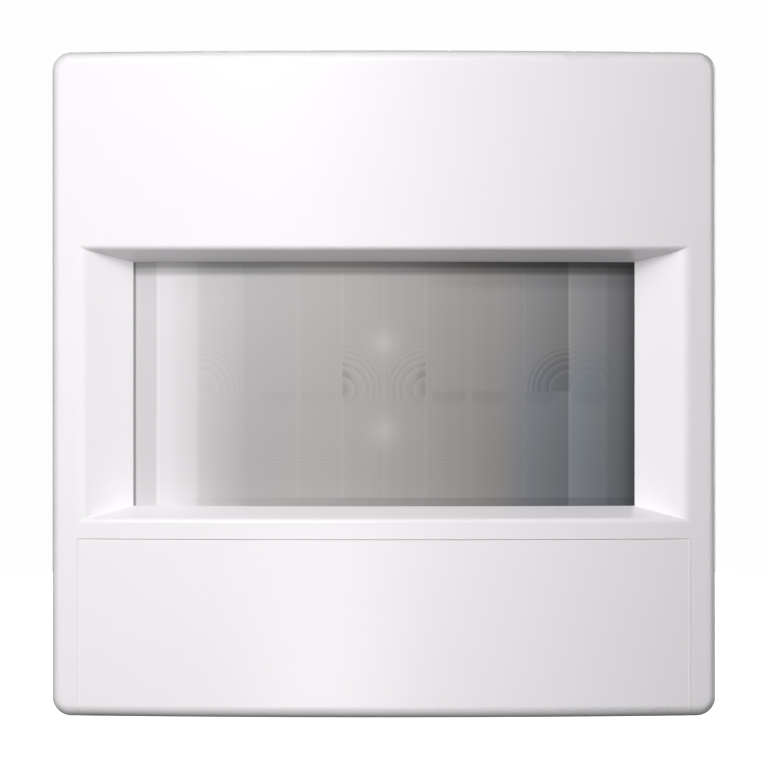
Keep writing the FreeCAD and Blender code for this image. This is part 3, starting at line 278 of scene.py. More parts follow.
# %% [markdown]
# ## The white cover
#
# The cover and its flap are moulded from one glossy white thermoplastic, and they must look like
# one piece while the flap is shut. Both read the same pattern in the same coordinates, so nothing
# changes at the parting line. The gloss has a faint ripple, as a moulded surface has.

# %% White plastic
WHITE = (0.87, 0.845, 0.87, 1.0)
WHITE_COOL = (0.885, 0.86, 0.885, 1.0)
white_pattern = moulded(WHITE, WHITE_COOL, blotch=9.0, gloss=0.34, grain=0.12)
make_finish("white_gloss_plastic", white_pattern, bump=0.0015, specular=0.42)
print("white plastic made")

# %% [markdown]
# ## The other plastics
#
# Behind the cover each part has the plastic its job asks for. The carrier, the shutters and the
# lens frame are black so that no stray light reaches the sensors. The rear housing is light grey
# with a spark-eroded grain that hides sink marks. Trimmers are blue, as is usual, and their dials
# are grey. The same pattern makes all of them, with its colours, gloss and grain changed.

# %% Plain plastics
# Two colours, then the blotches in mm, the roughness, the grain in mm and the relief in mm.
PLASTICS = {
    "carrier_black_plastic":
        ((0.018, 0.018, 0.02, 1), (0.03, 0.03, 0.033, 1), 5.0, 0.55, 0.18, 0.010),
    "panel_grey_plastic":
        ((0.52, 0.525, 0.53, 1), (0.56, 0.565, 0.57, 1), 6.0, 0.48, 0.15, 0.006),
    "dial_grey_plastic":
        ((0.30, 0.305, 0.31, 1), (0.34, 0.345, 0.35, 1), 2.0, 0.42, 0.12, 0.005),
    "trimmer_blue_plastic":
        ((0.03, 0.12, 0.42, 1), (0.04, 0.15, 0.48, 1), 2.0, 0.38, 0.12, 0.004),
    "switch_black_plastic":
        ((0.02, 0.02, 0.022, 1), (0.035, 0.035, 0.037, 1), 2.0, 0.42, 0.12, 0.004),
    "housing_grey_plastic":
        ((0.60, 0.605, 0.61, 1), (0.65, 0.655, 0.66, 1), 8.0, 0.52, 0.22, 0.016),
    "plug_black_plastic":
        ((0.02, 0.02, 0.022, 1), (0.03, 0.03, 0.032, 1), 3.0, 0.46, 0.16, 0.008),
}
for plastic, (first, second, blotch, gloss, grain, relief) in PLASTICS.items():
    make_finish(plastic, moulded(first, second, blotch, gloss, grain), bump=relief)
print("plastics:", ", ".join(PLASTICS))

# %% [markdown]
# ## Metals
#
# Rolled or turned metal shows fine streaks along one direction. The noise is stretched by scaling
# the coordinates before it reads them, so that the blotches become long hairs in the gloss. A
# second, softer noise adds the cloudiness of handled metal and lets the surface wave a little.

# %% Metals
HAIR_SIZE = 0.15
HAIR_IN_GLOSS = 0.03
CLOUD_SIZE = 2.5
CLOUD_IN_GLOSS = 0.05
METAL_RELIEF = 0.004


def brushed(first, second, shares, gloss):
    """The pattern of a metal with hairs along the axis that has the small share."""

    def pattern(maker, where):
        hairs = maker.noise(maker.scaled(where, shares), HAIR_SIZE, detail=2.0)
        cloud = maker.noise(where, CLOUD_SIZE)
        colour = maker.between(cloud, first, second)
        rough = gloss + (hairs - 0.5) * HAIR_IN_GLOSS + (cloud - 0.5) * CLOUD_IN_GLOSS
        return colour, rough, cloud

    return pattern


# Two colours, then the shares of x, y and z in the hairs and the roughness.
METALS = {
    "sensor_can_metal": ((0.66, 0.62, 0.52, 1), (0.74, 0.70, 0.60, 1), (1, 1, 0.12), 0.30),
    "contact_brass": ((0.72, 0.50, 0.20, 1), (0.80, 0.58, 0.26, 1), (1, 0.15, 1), 0.26),
    "crystal_can_steel": ((0.60, 0.60, 0.61, 1), (0.70, 0.70, 0.71, 1), (0.15, 1, 1), 0.28),
    "can_aluminium": ((0.72, 0.73, 0.74, 1), (0.80, 0.81, 0.82, 1), (1, 0.15, 1), 0.30),
    "spring_steel_strip": ((0.50, 0.50, 0.51, 1), (0.60, 0.60, 0.61, 1), (1, 0.12, 1), 0.30),
    "screw_zinc_steel": ((0.56, 0.57, 0.60, 1), (0.66, 0.67, 0.70, 1), (1, 0.3, 1), 0.32),
}
for metal, (first, second, shares, gloss) in METALS.items():
    make_finish(metal, brushed(first, second, shares, gloss), bump=METAL_RELIEF, metallic=1.0)
print("metals:", ", ".join(METALS))

# %% [markdown]
# ## Circuit boards and chips
#
# A circuit board is green lacquer over copper. Where copper runs below, the lacquer is lighter and
# stands a few hundredths of a millimetre higher. The edges of a cell pattern give a net of fine
# lines that meet at angles, as a board's tracks do. A chip is a matt black moulding full of glass
# grains, and ceramic chips are tan and a little darker in their hollows.

# %% Board lacquer
LACQUER = ((0.008, 0.10, 0.035, 1), (0.012, 0.13, 0.05, 1))
LACQUER_ON_COPPER = (0.03, 0.24, 0.10, 1)
LACQUER_BLOTCH = 4.0
LACQUER_ROUGHNESS = 0.32
LACQUER_SWING = 0.1
CELLS_PER_METRE = 320.0
TRACK_EDGE = (0.06, 0.10)
COPPER_SHOWS = 0.8


def board_lacquer(maker, where):
    """Green lacquer with lighter tracks below it."""
    cells = {"feature": "DISTANCE_TO_EDGE", "voronoi_dimensions": "3D"}
    spread = {"Vector": where, "Scale": CELLS_PER_METRE}
    copper = 1.0 - maker.ease(maker.add("ShaderNodeTexVoronoi", cells, spread), *TRACK_EDGE)
    cloud = maker.noise(where, LACQUER_BLOTCH)
    plain = maker.between(cloud, *LACQUER)
    colour = maker.between(copper * COPPER_SHOWS, plain, LACQUER_ON_COPPER)
    return colour, LACQUER_ROUGHNESS + cloud * LACQUER_SWING, copper


make_finish("board_green_lacquer", board_lacquer, bump=0.02, coat=0.3)
print("cells of the board pattern:", round(1 / (CELLS_PER_METRE * MM), 1), "mm")

# %% Chips
MOULDING = ((0.02, 0.02, 0.022, 1), (0.04, 0.04, 0.042, 1))
MOULDING_GRAIN = 0.06
MOULDING_BLOTCH = 1.5
MOULDING_ROUGHNESS = 0.55
CERAMIC = ((0.42, 0.28, 0.15, 1), (0.56, 0.40, 0.24, 1))
CERAMIC_GRAIN = 0.1
CERAMIC_ROUGHNESS = 0.45
GRAINS_IN_GLOSS = 0.2


def chip_moulding(maker, where):
    """Matt black moulding with glass grains."""
    grains = maker.noise(where, MOULDING_GRAIN, detail=1.0)
    colour = maker.between(maker.noise(where, MOULDING_BLOTCH), *MOULDING)
    return colour, MOULDING_ROUGHNESS + (grains - 0.5) * GRAINS_IN_GLOSS, grains


def chip_ceramic(maker, where):
    """Tan ceramic, a little darker in its hollows."""
    grains = maker.noise(where, CERAMIC_GRAIN, detail=2.0)
    colour = maker.between(grains, *CERAMIC)
    return colour, CERAMIC_ROUGHNESS + (grains - 0.5) * GRAINS_IN_GLOSS, grains


make_finish("chip_black_moulding", chip_moulding, bump=0.006)
make_finish("chip_tan_ceramic", chip_ceramic, bump=0.006)
print("boards and chips made")

# %% [markdown]
# ## Parts that light passes through
#
# The infrared filter is a dark, almost black window with a polished face. The indicator and the
# daylight sensor are cast resin, one red and one clear. They sit in the dark behind the lens, so a
# glossy tinted surface shows all that can be seen of them.

# %% Filter, indicator and daylight sensor
# Two colours, then the blotches in mm, the roughness and the coat.
RESINS = {
    "filter_dark_window": ((0.012, 0.010, 0.014, 1), (0.022, 0.016, 0.024, 1), 1.5, 0.10, 0.6),
    "indicator_red_resin": ((0.42, 0.015, 0.01, 1), (0.55, 0.03, 0.02, 1), 1.0, 0.14, 0.7),
    "diode_clear_resin": ((0.55, 0.57, 0.58, 1), (0.66, 0.68, 0.69, 1), 1.0, 0.12, 0.7),
}
for resin, (first, second, blotch, gloss, coat) in RESINS.items():
    make_finish(resin, moulded(first, second, blotch, gloss, grain=0.3), bump=0.001, coat=coat)
print("finishes so far:", len(finishes))

# %% [markdown]
# ## Dress the solids of the frame
#
# The record names a finish slot for each solid. A short table carries every slot to the finish made
# above. The solids keep their shapes: only their material slots change. The lens's solid takes the
# white plastic for now, because a plate with grooves stands for it later on.

# %% Give every solid its finish
SLOT_FINISH = {
    "cover_white": "white_gloss_plastic",
    "lens_milky": "white_gloss_plastic",
    "carrier_black": "carrier_black_plastic",
    "panel_grey": "panel_grey_plastic",
    "dial_grey": "dial_grey_plastic",
    "trimmer_blue": "trimmer_blue_plastic",
    "switch_black": "switch_black_plastic",
    "board_green": "board_green_lacquer",
    "chip_black": "chip_black_moulding",
    "chip_tan": "chip_tan_ceramic",
    "sensor_metal": "sensor_can_metal",
    "filter_dark": "filter_dark_window",
    "pin_brass": "contact_brass",
    "crystal_steel": "crystal_can_steel",
    "capacitor_aluminium": "can_aluminium",
    "led_red": "indicator_red_resin",
    "diode_clear": "diode_clear_resin",
    "housing_grey": "housing_grey_plastic",
    "plug_black": "plug_black_plastic",
    "spring_steel": "spring_steel_strip",
    "screw_steel": "screw_zinc_steel",
}
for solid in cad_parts.values():
    for place in solid.material_slots:
        place.material = finishes[SLOT_FINISH[place.material.name]]
print("dressed", len(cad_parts), "solids from", len(SLOT_FINISH), "slots")

# %% [markdown]
# ## The lens: how its zones lie
#
# A Fresnel lens is a thick lens cut into rings and flattened. All rings have the same area, so the
# square of the radius grows by the same amount from one groove to the next, and the grooves crowd
# together outwards. This detector's lens has ten columns, five on each side of the middle, each
# with its own centre, and two rows that meet a little below the middle. Both the mesh and the
# material need to know the rings, so one sum gives them in either kind of tree. Lengths are in
# millimetres from the middle of the lens, and an area is the square of a ring's radius.

# %% Rings of the lens
COLUMN_EDGES = (4.4, 9.0, 14.85, 19.6, 23.85)
UPPER_CENTRES = (4.45, 6.9, 11.9, 19.5, 21.8)
LOWER_CENTRES = (4.45, 6.9, 11.0, 16.2, 21.8)
ROW_EDGE = -0.78
RING_CENTRE = -0.6
RING_AREA = 4.4
MIDDLE_SHIFT = 2.5
PATTERN_TOP = 11.75
PATTERN_BOTTOM = -11.95


def stepped(value, edges, levels):
    """A staircase: the first level up to the first edge, and each next level from its edge on."""
    stair = 0.0 * value + levels[0]
    for edge, below, above in zip(edges, levels, levels[1:]):
        stair = stair + (value > edge) * (above - below)
    return stair


def inside_pattern(x, z):
    """1 on the grooved field of the lens, 0 on its plain margin."""
    return (abs(x) < COLUMN_EDGES[-1]) * (z < PATTERN_TOP) * (z > PATTERN_BOTTOM)


def in_middle(x):
    """1 on the two columns beside the middle, 0 on the others."""
    return abs(x) < COLUMN_EDGES[0]


def ring_phase(x, z, centre_z=RING_CENTRE, area=RING_AREA):
    """0 to 1 from each groove to the next, and the area inside this place's ring."""
    upper = stepped(abs(x), COLUMN_EDGES, UPPER_CENTRES)
    lower = stepped(abs(x), COLUMN_EDGES, LOWER_CENTRES)
    across = abs(x) - upper - (z < ROW_EDGE) * (lower - upper)
    up = z - centre_z
    inside = across * across + up * up + in_middle(x) * MIDDLE_SHIFT
    return (inside / area) % 1.0, inside


print("columns on each side:", len(COLUMN_EDGES), "ring area:", RING_AREA, "square millimetres")

# %% [markdown]
# ## The lens: its shape
#
# The plate follows a rule, so Geometry Nodes make it. A box with a fine mesh is bent to the
# cylinder of the frame's lens, and the grooves are cut into the inner face, where a real lens has
# them, so that dust can't settle in them. The outer face keeps only a faint echo of the rings.
# Grooves finer than the mesh would turn into a false pattern, so they fade out as they crowd.

# %% Begin and end a tree


def new_tree(name, sizes):
    """A Geometry Nodes tree with named inputs, and the identifiers of the inputs."""
    tree = bpy.data.node_groups.new(name, "GeometryNodeTree")
    tree.interface.new_socket("Geometry", in_out="OUTPUT", socket_type="NodeSocketGeometry")
    keys = {}
    for size, value in sizes.items():
        kind = "NodeSocketInt" if isinstance(value, int) else "NodeSocketFloat"
        socket = tree.interface.new_socket(size, in_out="INPUT", socket_type=kind)
        keys[size] = socket.identifier
    maker = Maker(tree)
    source = tree.nodes.new("NodeGroupInput")
    return maker, {size: Link(maker, source.outputs[size]) for size in sizes}, keys


def finish_tree(maker, geometry, material):
    """Ends a tree: instances become real, and the faces get their material."""
    real = maker.add("GeometryNodeRealizeInstances", None, {"Geometry": geometry})
    dressing = {"Geometry": real, "Material": material}
    dressed = maker.add("GeometryNodeSetMaterial", None, dressing)
    maker.add("NodeGroupOutput", None, {0: dressed})


print("a tree starts from named sizes and ends in real faces with a material")

# %% From a tree to a plain mesh


def add_object(name, data):
    """A new object in the scene."""
    thing = bpy.data.objects.new(name, data)
    bpy.context.scene.collection.objects.link(thing)
    return thing


def make_plain(piece):
    """Gives a piece the mesh that its modifiers make, and removes them."""
    ready = piece.evaluated_get(bpy.context.evaluated_depsgraph_get())
    mesh = bpy.data.meshes.new_from_object(ready)
    start = piece.data
    piece.modifiers.clear()
    piece.data = mesh
    bpy.data.meshes.remove(start)
    mesh.name = piece.name


def grown(name, tree, keys, sizes):
    """The plain mesh object that a tree grows with these sizes."""
    piece = add_object(name, bpy.data.meshes.new(name))
    nodes = piece.modifiers.new(name, "NODES")
    nodes.node_group = tree
    for size, value in sizes.items():
        nodes[keys[size]] = value
    make_plain(piece)
    return piece


print("a tree's result becomes an ordinary mesh")

# %% The lens plate
lens_low, lens_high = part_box("fresnel_lens")
LENS_STEP = 0.2
GROOVE_FADE = (12.0, 26.0)
PLATE = {
    "Half Width": lens_high.x / MM,
    "Half Height": lens_high.z / MM,
    "Thickness": 0.8,
    "Radius": 80.0,
    "Front": lens_low.y / MM,
    "Inner Groove": 0.12,
    "Outer Groove": 0.006,
}
maker, size, keys = new_tree("fresnel_lens_plate", PLATE)
whole = maker.vector(size["Half Width"] * 2.0, size["Thickness"], size["Half Height"] * 2.0)
box = maker.add("GeometryNodeMeshCube", None, {
    "Size": whole,
    "Vertices X": int(2 * PLATE["Half Width"] / LENS_STEP) + 1,
    "Vertices Y": 2,
    "Vertices Z": int(2 * PLATE["Half Height"] / LENS_STEP) + 1,
})
at = maker.add("GeometryNodeInputPosition")
x, y, z = (maker.part(at, axis) for axis in range(3))
phase, inside = ring_phase(x, z)
groove = phase * (1.0 - maker.ease(inside, *GROOVE_FADE)) * inside_pattern(x, z)
inner = y > 0.0
deep = (y + size["Thickness"] / 2.0) - groove * inner * size["Inner Groove"]
deep = deep + groove * (1.0 - inner) * size["Outer Groove"]
reach = size["Radius"] - deep
bent = size["Front"] + size["Radius"] - (reach * reach - x * x) ** 0.5
moved = {"Geometry": box, "Position": maker.vector(x * MM, bent * MM, z * MM)}
placed = maker.add("GeometryNodeSetPosition", None, moved)
smooth = maker.add("GeometryNodeSetShadeSmooth", None, {"Geometry": placed})
print("lens plate tree:", len(maker.tree.nodes), "nodes")

# %% [markdown]
# ## The lens: its milky plastic
#
# The lens is a thin sheet of milky plastic. Its colour carries painted light and shade: a ramp
# along x paints it bright on the left, where light falls into it, and grey on the right, where the
# dark chamber shows through. On the ramp each column is a step lighter or darker, and thin light
# lines part the columns. The plain margin carries a painted shadow of the window's edge, and the
# rings show as faint arcs round their centres, painted as the light and shade of their sloped
# grooves. The finest rings show only in bands near the top and bottom, painted where their slopes
# catch the light.

# %% Painted light across the lens
LENS_WIDTH = 57.6
# Painted light: the lens falls from bright at the left to grey at the right.
LENS_PAINTED_LIGHT = (
    (0.00, (0.70, 0.68, 0.70, 1)),
    (0.10, (0.72, 0.70, 0.72, 1)),
    (0.24, (0.51, 0.495, 0.505, 1)),
    (0.40, (0.475, 0.452, 0.45, 1)),
    (0.58, (0.415, 0.39, 0.387, 1)),
    (0.72, (0.335, 0.32, 0.32, 1)),
    (0.83, (0.235, 0.23, 0.235, 1)),
    (0.92, (0.155, 0.155, 0.16, 1)),
    (1.00, (0.10, 0.10, 0.105, 1)),
)
TONE_EDGES = (-24.05, -19.75, -15.0, 19.45, 23.6)
TONE_STEPS = (0.84, 1.0, 0.885, 0.84, 1.215, 1.04)
print("tones of the lens:", len(LENS_PAINTED_LIGHT), "along the ramp,", len(TONE_STEPS), "steps on it")

# %% [markdown]
# ### The marks of the rings
#
# The upper row shows its rings as arcs of painted light and shade, as their sloped grooves catch
# the light, strong on some columns and weak on others. The two columns beside the middle have a
# slim dark core at their centres, and the two at the far right a wide one. The lower row shows only
# a dark half moon at each centre, right below the row's edge. The finest rings show as painted
# lines of light and shade in two bands, near the top and the bottom. Every mark is a share by which
# the tone is lightened or darkened.

# %% Arcs, half moons and fine lines
ARC_EDGES = (-19.6, -14.85, -4.4, 4.4, 14.85, 19.6)
ARC_STRENGTHS = (0.01, 0.08, 0.02, 0.14, 0.02, 0.22, 0.08)
ARC_START = (0.0, 3.0)
ARC_FADE = (15.0, 30.0)
CORE_AREA = (0.0, 2.0)
CORE_HEIGHT = 0.12
CORE_SHADE = 0.12
WIDE_AREA = (4.0, 26.0)
WIDE_SHADES = (0.0, 0.16, 0.04)
UPPER_FOOT = (-2.6, -0.8)
MOON_AREA = (2.6, 4.4)
MOON_FOOT = (-3.2, -1.2)
MOON_EDGES = (-15.0, 0.0)
MOON_SHADES = (0.0, -0.035, -0.07)
FINE_AREA = 6.0
HIGH_CENTRE = 19.0
LOW_LINES = (-10.1, -7.0, 0.4)
HIGH_LINES = (9.9, 11.4, 0.3)
LINE_COLUMNS = (4.0, 12.4, 0.8)
LINE_STRENGTH = 0.09


def upper_arcs(maker, x, z, phase, inside):
    """The arcs of the upper row as painted light and shade, with the slim cores and the wide
    shade at the right.
    """
    strength = stepped(x, ARC_EDGES, ARC_STRENGTHS)
    fading = 1.0 - maker.ease(inside, *ARC_FADE)
    arcs = (phase - 0.5) * strength * fading * maker.ease(inside, *ARC_START)
    side = abs(x) - UPPER_CENTRES[0]
    up = z - RING_CENTRE
    core = maker.ease(side * side + up * up * CORE_HEIGHT, *CORE_AREA) - 1.0
    slim = core * in_middle(x) * CORE_SHADE
    wide = (maker.ease(inside, *WIDE_AREA) - 1.0) * stepped(x, ARC_EDGES[-2:], WIDE_SHADES)
    ringed = (z > ROW_EDGE) + in_middle(x) > 0.5
    return (arcs + slim + wide) * ringed * maker.ease(z, *UPPER_FOOT)


def half_moons(maker, x, z, inside):
    """The dark half moons of the lower row."""
    below = (z < ROW_EDGE) * (abs(x) > COLUMN_EDGES[0]) * maker.ease(z, *MOON_FOOT)
    return (1.0 - maker.ease(inside, *MOON_AREA)) * below * stepped(x, MOON_EDGES, MOON_SHADES)


def fine_lines(maker, x, z):
    """The finest rings as painted lines of light and shade, in a band near the bottom and one
    near the top at the right.
    """
    low = (ring_phase(x, z, area=FINE_AREA)[0] - 0.5) * maker.band(z, *LOW_LINES)
    high = (ring_phase(x, z, HIGH_CENTRE, FINE_AREA)[0] - 0.5) * maker.band(z, *HIGH_LINES)
    return (low + high * (x > 0.0)) * maker.band(abs(x), *LINE_COLUMNS) * LINE_STRENGTH


def milky_rings(maker, x, z):
    """How much the painted light and shade of the rings lighten or darken each place."""
    phase, inside = ring_phase(x, z)
    arcs = upper_arcs(maker, x, z, phase, inside)
    return arcs + half_moons(maker, x, z, inside) + fine_lines(maker, x, z)


print("strength of the arcs from left to right:", ARC_STRENGTHS)

# %% [markdown]
# ### Light and shade painted on the lens
#
# These marks are painted into the lens's colour. Weak streaks run along the columns, two painted
# glints sit in the middle, and the painted light grows a little towards the top, except at the far
# left. A painted shadow of the window's edge lies on the rim of the lens, strongest under the upper
# edge. A swell has a start, an end and a height, and x and z are in millimetres.

# %% Streaks, painted glints and the painted shadow on the rim
STREAK_SHARES = (1.0, 1.0, 0.01)
STREAK_SIZE = 0.8
STREAK_LIGHT = 0.06
# Two painted highlights in the middle of the lens.
GLINT_PLACES = (4.3, -4.9)
GLINT_SPREAD = 0.3
GLINT_LIGHT = 0.25
SEAM_EDGE = (0.05, 0.22)
SEAM_LIGHT = 0.05
# A painted tilt: the light grows a little towards the top, except at the far left.
PAINTED_TILT_LEFT = (-21.0, -15.0, 0.008)
PAINTED_TILT_RIGHT = (5.0, 18.0, 0.010)
# Painted shadow of the window's edges on the rim of the lens.
TOP_EDGE = (11.2, 11.9)
TOP_SHADE = 0.48
TOP_SHADE_RIGHT = (0.0, 14.0, 0.13)
TOP_SHADE_LEFT = (16.0, 23.0, 0.12)
TOP_LINE = (12.1, 12.35, 0.16)
# A wider band of painted shade under the top edge, towards the right.
SHADOW_BAND = (10.2, 11.5, 0.5)
SHADOW_BAND_START = (2.0, 12.0)
SHADOW_BAND_SHADE = 0.14
BOTTOM_EDGE = (11.9, 12.05)
BOTTOM_START = (-26.0, 0.0)
BOTTOM_SHADE = 0.2
RIGHT_SHADE = (24.6, 26.6, 0.45)
LEFT_SHADE = (26.15, 26.3, 0.6)


def painted_lens_light(maker, where, x, z):
    """Streaks along the columns, two painted glints, the column seams and a slow painted tilt."""
    streaks = maker.noise(maker.scaled(where, STREAK_SHARES), STREAK_SIZE)
    light = 1.0 + (streaks - 0.5) * STREAK_LIGHT
    for centre in GLINT_PLACES:
        away = x * x + (z - centre) * (z - centre)
        light = light + (1.0 + away * GLINT_SPREAD) ** -2.0 * GLINT_LIGHT
    for edge in COLUMN_EDGES + (0.0,):
        seam = 1.0 - maker.ease(abs(abs(x) - edge), *SEAM_EDGE)
        light = light + seam * inside_pattern(x, z) * SEAM_LIGHT
    # The painted tilt of the light towards the top.
    return light * (1.0 + z * (maker.swell(x, *PAINTED_TILT_LEFT) + maker.swell(x, *PAINTED_TILT_RIGHT)))


def with_painted_window_shadow(maker, light, x, z):
    """This light under the painted shadow of the window's edges at top, bottom, right and left."""
    rim = TOP_SHADE + maker.swell(x, *TOP_SHADE_RIGHT) - maker.swell(-x, *TOP_SHADE_LEFT)
    top = maker.ease(z, *TOP_EDGE) * rim + maker.swell(z, *TOP_LINE)
    top = top + maker.band(z, *SHADOW_BAND) * maker.ease(x, *SHADOW_BAND_START) * SHADOW_BAND_SHADE
    bottom = maker.ease(-z, *BOTTOM_EDGE) * maker.ease(x, *BOTTOM_START) * BOTTOM_SHADE
    right = maker.swell(x, *RIGHT_SHADE)
    left = maker.swell(-x, *LEFT_SHADE)
    return light * (1.0 - top - bottom) * (1.0 - right) * (1.0 - left)


print("glints at", GLINT_PLACES, "mm above the lens's middle")

# %% The lens's plastic
COOL_TINT = (0.90, 0.99, 1.10, 1.0)
OLIVE_TINT = (1.0, 1.0, 0.965, 1.0)
TINT_SHARES = (1.0, 1.0, 0.4)
TINT_SIZE = 4.0
TINT_EDGE = (0.40, 0.60)
COOL_START = (11.0, 17.0)
COOL_ABOVE = 0.2
COOL_FOOT = (-5.0, 0.5)
COOL_BELOW = 0.4
COOL_CLOUD = 0.4
OLIVE_END = (8.0, 16.0)
LENS_ROUGHNESS = 0.36
RING_HEIGHT = 10.0


def milky(maker, where):
    """The colour, gloss and relief of the lens; the colour carries painted light and shade."""
    x, z = (maker.part(where, axis) / MM for axis in (0, 2))
    # The ramp paints the fall of light across the lens, bright at the left and grey at the right.
    tone = maker.add("ShaderNodeValToRGB", {"stops": LENS_PAINTED_LIGHT}, {0: x / LENS_WIDTH + 0.5})
    # The rings are painted light and shade in the colour, and also change the roughness and the
    # relief.
    rings = milky_rings(maker, x, z) * inside_pattern(x, z)
    # Painted highlights, a painted tilt of the light and the painted shadow of the window's edges.
    light = with_painted_window_shadow(maker, painted_lens_light(maker, where, x, z), x, z)
    level = stepped(x, TONE_EDGES, TONE_STEPS) * light * (1.0 + rings)
    colour = maker.tinted(tone, maker.vector(level, level, level))
    cloud = maker.noise(maker.scaled(where, TINT_SHARES), TINT_SIZE)
    cloud = maker.ease(cloud, *TINT_EDGE)
    below = maker.ease(-z, *COOL_FOOT) * (COOL_BELOW + cloud * COOL_CLOUD)
    cool = maker.ease(x, *COOL_START) * (COOL_ABOVE + below)
    warm = maker.between(cloud + maker.ease(-x, *OLIVE_END), OLIVE_TINT, grey(1.0))
    colour = maker.tinted(colour, maker.between(cool, warm, COOL_TINT))
    return colour, LENS_ROUGHNESS + rings, rings * RING_HEIGHT


make_finish("milky_lens_plastic", milky, bump=0.003, specular=0.4)
print("finishes:", len(finishes))

# %% The lens as a piece
SHARP_GROOVE = math.radians(50)
finish_tree(maker, smooth, finishes["milky_lens_plastic"])
lens = grown("fresnel_lens_plate", maker.tree, keys, PLATE)
lens.data.set_sharp_from_angle(angle=SHARP_GROOVE)
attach(lens, "housing")
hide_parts("fresnel_lens")
print("lens faces:", len(lens.data.polygons))

# %% [markdown]
# ## The bead round the flap
#
# The parting line of the flap is hardly seen: a grey hairline at the top, and almost nothing at the
# sides. An open gap would be black, so on a flap like this a fine bead stands on its edge and fills
# the gap nearly to the front. It belongs to the flap and swings with it. Its path runs up one side,
# along the crown of the front and down the other side, and a small rectangle follows it.

# %% The path of the bead
CROWN_RISE = 6.0
EDGE_ROUND = 1.2
FLAP_HALF = 32.1
FOOT_ARC = math.radians(80)
CORNER_RUN = 1.0
SIDE_BEAD = (0.15, 0.0)
TOP_BEAD = (0.13, 0.16)
flap_low, flap_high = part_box("control_flap")
cover_half = cad_high.x / MM
crown_radius = (cover_half ** 2 + CROWN_RISE ** 2) / (2 * CROWN_RISE)


def crown(x):
    """How far back the cover's front lies at this x, in millimetres."""
    return cad_low.y / MM + crown_radius - math.sqrt(crown_radius ** 2 - x ** 2)


def bead_path(foot_steps=6, top_steps=48):
    """Places along the flap's left half: x, z, how far out, how far up, width and depth."""
    top = flap_high.z / MM
    foot = flap_low.z / MM + EDGE_ROUND
    path = []
    for step in range(foot_steps, 0, -1):
        angle = FOOT_ARC * step / foot_steps
        fall = EDGE_ROUND * (1 - math.cos(angle))
        path.append((-FLAP_HALF, foot - EDGE_ROUND * math.sin(angle), -1, 0, SIDE_BEAD[0], fall))
    path.append((-FLAP_HALF, foot, -1, 0) + SIDE_BEAD)
    path.append((-FLAP_HALF, top - CORNER_RUN, -1, 0) + SIDE_BEAD)
    path.append((-FLAP_HALF, top, -1, 1) + SIDE_BEAD)
    for step in range(1, top_steps // 2 + 1):
        path.append((-FLAP_HALF * (1 - 2 * step / top_steps), top, 0, 1) + TOP_BEAD)
    return path


print("crown radius:", round(crown_radius, 1), "mm, places on half the path:", len(bead_path()))

# %% The bead as a piece
BEAD_DEPTH = 0.6
SECTION = 4


def side_faces(first, count):
    """The faces from the ring of points that starts at this one to the next ring."""
    faces = []
    for corner in range(count):
        following = (corner + 1) % count
        faces.append((first + corner, first + following,
                      first + count + following, first + count + corner))
    return faces


def flap_bead():
    """A bead with a rectangular section on the flap's two sides and its top edge."""
    path = bead_path()
    mirrored = reversed(path[:-1])
    path += [(-x, z, -out, up, width, depth) for x, z, out, up, width, depth in mirrored]
    points = []
    for x, z, out, up, width, depth in path:
        near, far = crown(x) + depth, crown(x) + depth + BEAD_DEPTH
        edge_x, edge_z = x + out * width, z + up * width
        points += [(x, near, z), (edge_x, near, edge_z), (edge_x, far, edge_z), (x, far, z)]
    last = len(points) - SECTION
    faces = []
    for first in range(0, last, SECTION):
        faces += side_faces(first, SECTION)
    faces += [tuple(reversed(range(SECTION))), tuple(range(last, last + SECTION))]
    mesh = bpy.data.meshes.new("flap_bead")
    mesh.from_pydata([(x * MM, y * MM, z * MM) for x, y, z in points], [], faces)
    mesh.materials.append(finishes["white_gloss_plastic"])
    return mesh


bead = add_object("flap_bead", flap_bead())
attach(bead, "flap")
print("bead faces:", len(bead.data.polygons))

# %% [markdown]
# ## True normals on the crowned front
#
# A solid comes as flat triangles, and the normals at their corners are averages. Along the front's
# edge the triangles are long and thin, so these averages lean to and fro, and the gloss shows faint
# patches. The true direction is known: the front is a cylinder with an upright axis, and its edge
# is a quarter circle swept along it. Copies of the cover and the flap keep every triangle and get
# the true normals there.

# %% True normals
NEAR_FRONT = 0.01
SAME_SIDE = 0.9
crown_axis = cad_low.y + crown_radius * MM
edge_start = cad_high.z - EDGE_ROUND * MM


def true_normal(point, facing):
    """The direction of the crowned front or its rounded edge at this point, or None elsewhere."""
    out = Vector((point.x, point.y - crown_axis, 0.0))
    past = out.length - (crown_radius - EDGE_ROUND) * MM
    up = math.copysign(max(abs(point.z) - edge_start, 0.0), point.z)
    if past < 0 or abs(math.hypot(past, up) - EDGE_ROUND * MM) > NEAR_FRONT * MM:
        return None
    normal = (out.normalized() * past + Vector((0.0, 0.0, up))).normalized()
    return normal if normal.dot(facing) > SAME_SIDE else None


def with_true_normals(node, body):
    """A copy of a solid that stands for it, with true normals on the crowned front."""
    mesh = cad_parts[node].data.copy()
    normals = [Vector(corner.vector) for corner in mesh.corner_normals]
    mended = 0
    for face in mesh.polygons:
        for corner in face.loop_indices:
            point = mesh.vertices[mesh.loops[corner].vertex_index].co
            normal = true_normal(point, face.normal)
            if normal is not None:
                normals[corner] = normal
                mended += 1
    mesh.normals_split_custom_set(normals)
    piece = add_object("crowned_" + node, mesh)
    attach(piece, body)
    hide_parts(node)
    print(piece.name, "true normals:", mended, "of", len(normals))


with_true_normals("front_cover", "housing")
with_true_normals("control_flap", "flap")

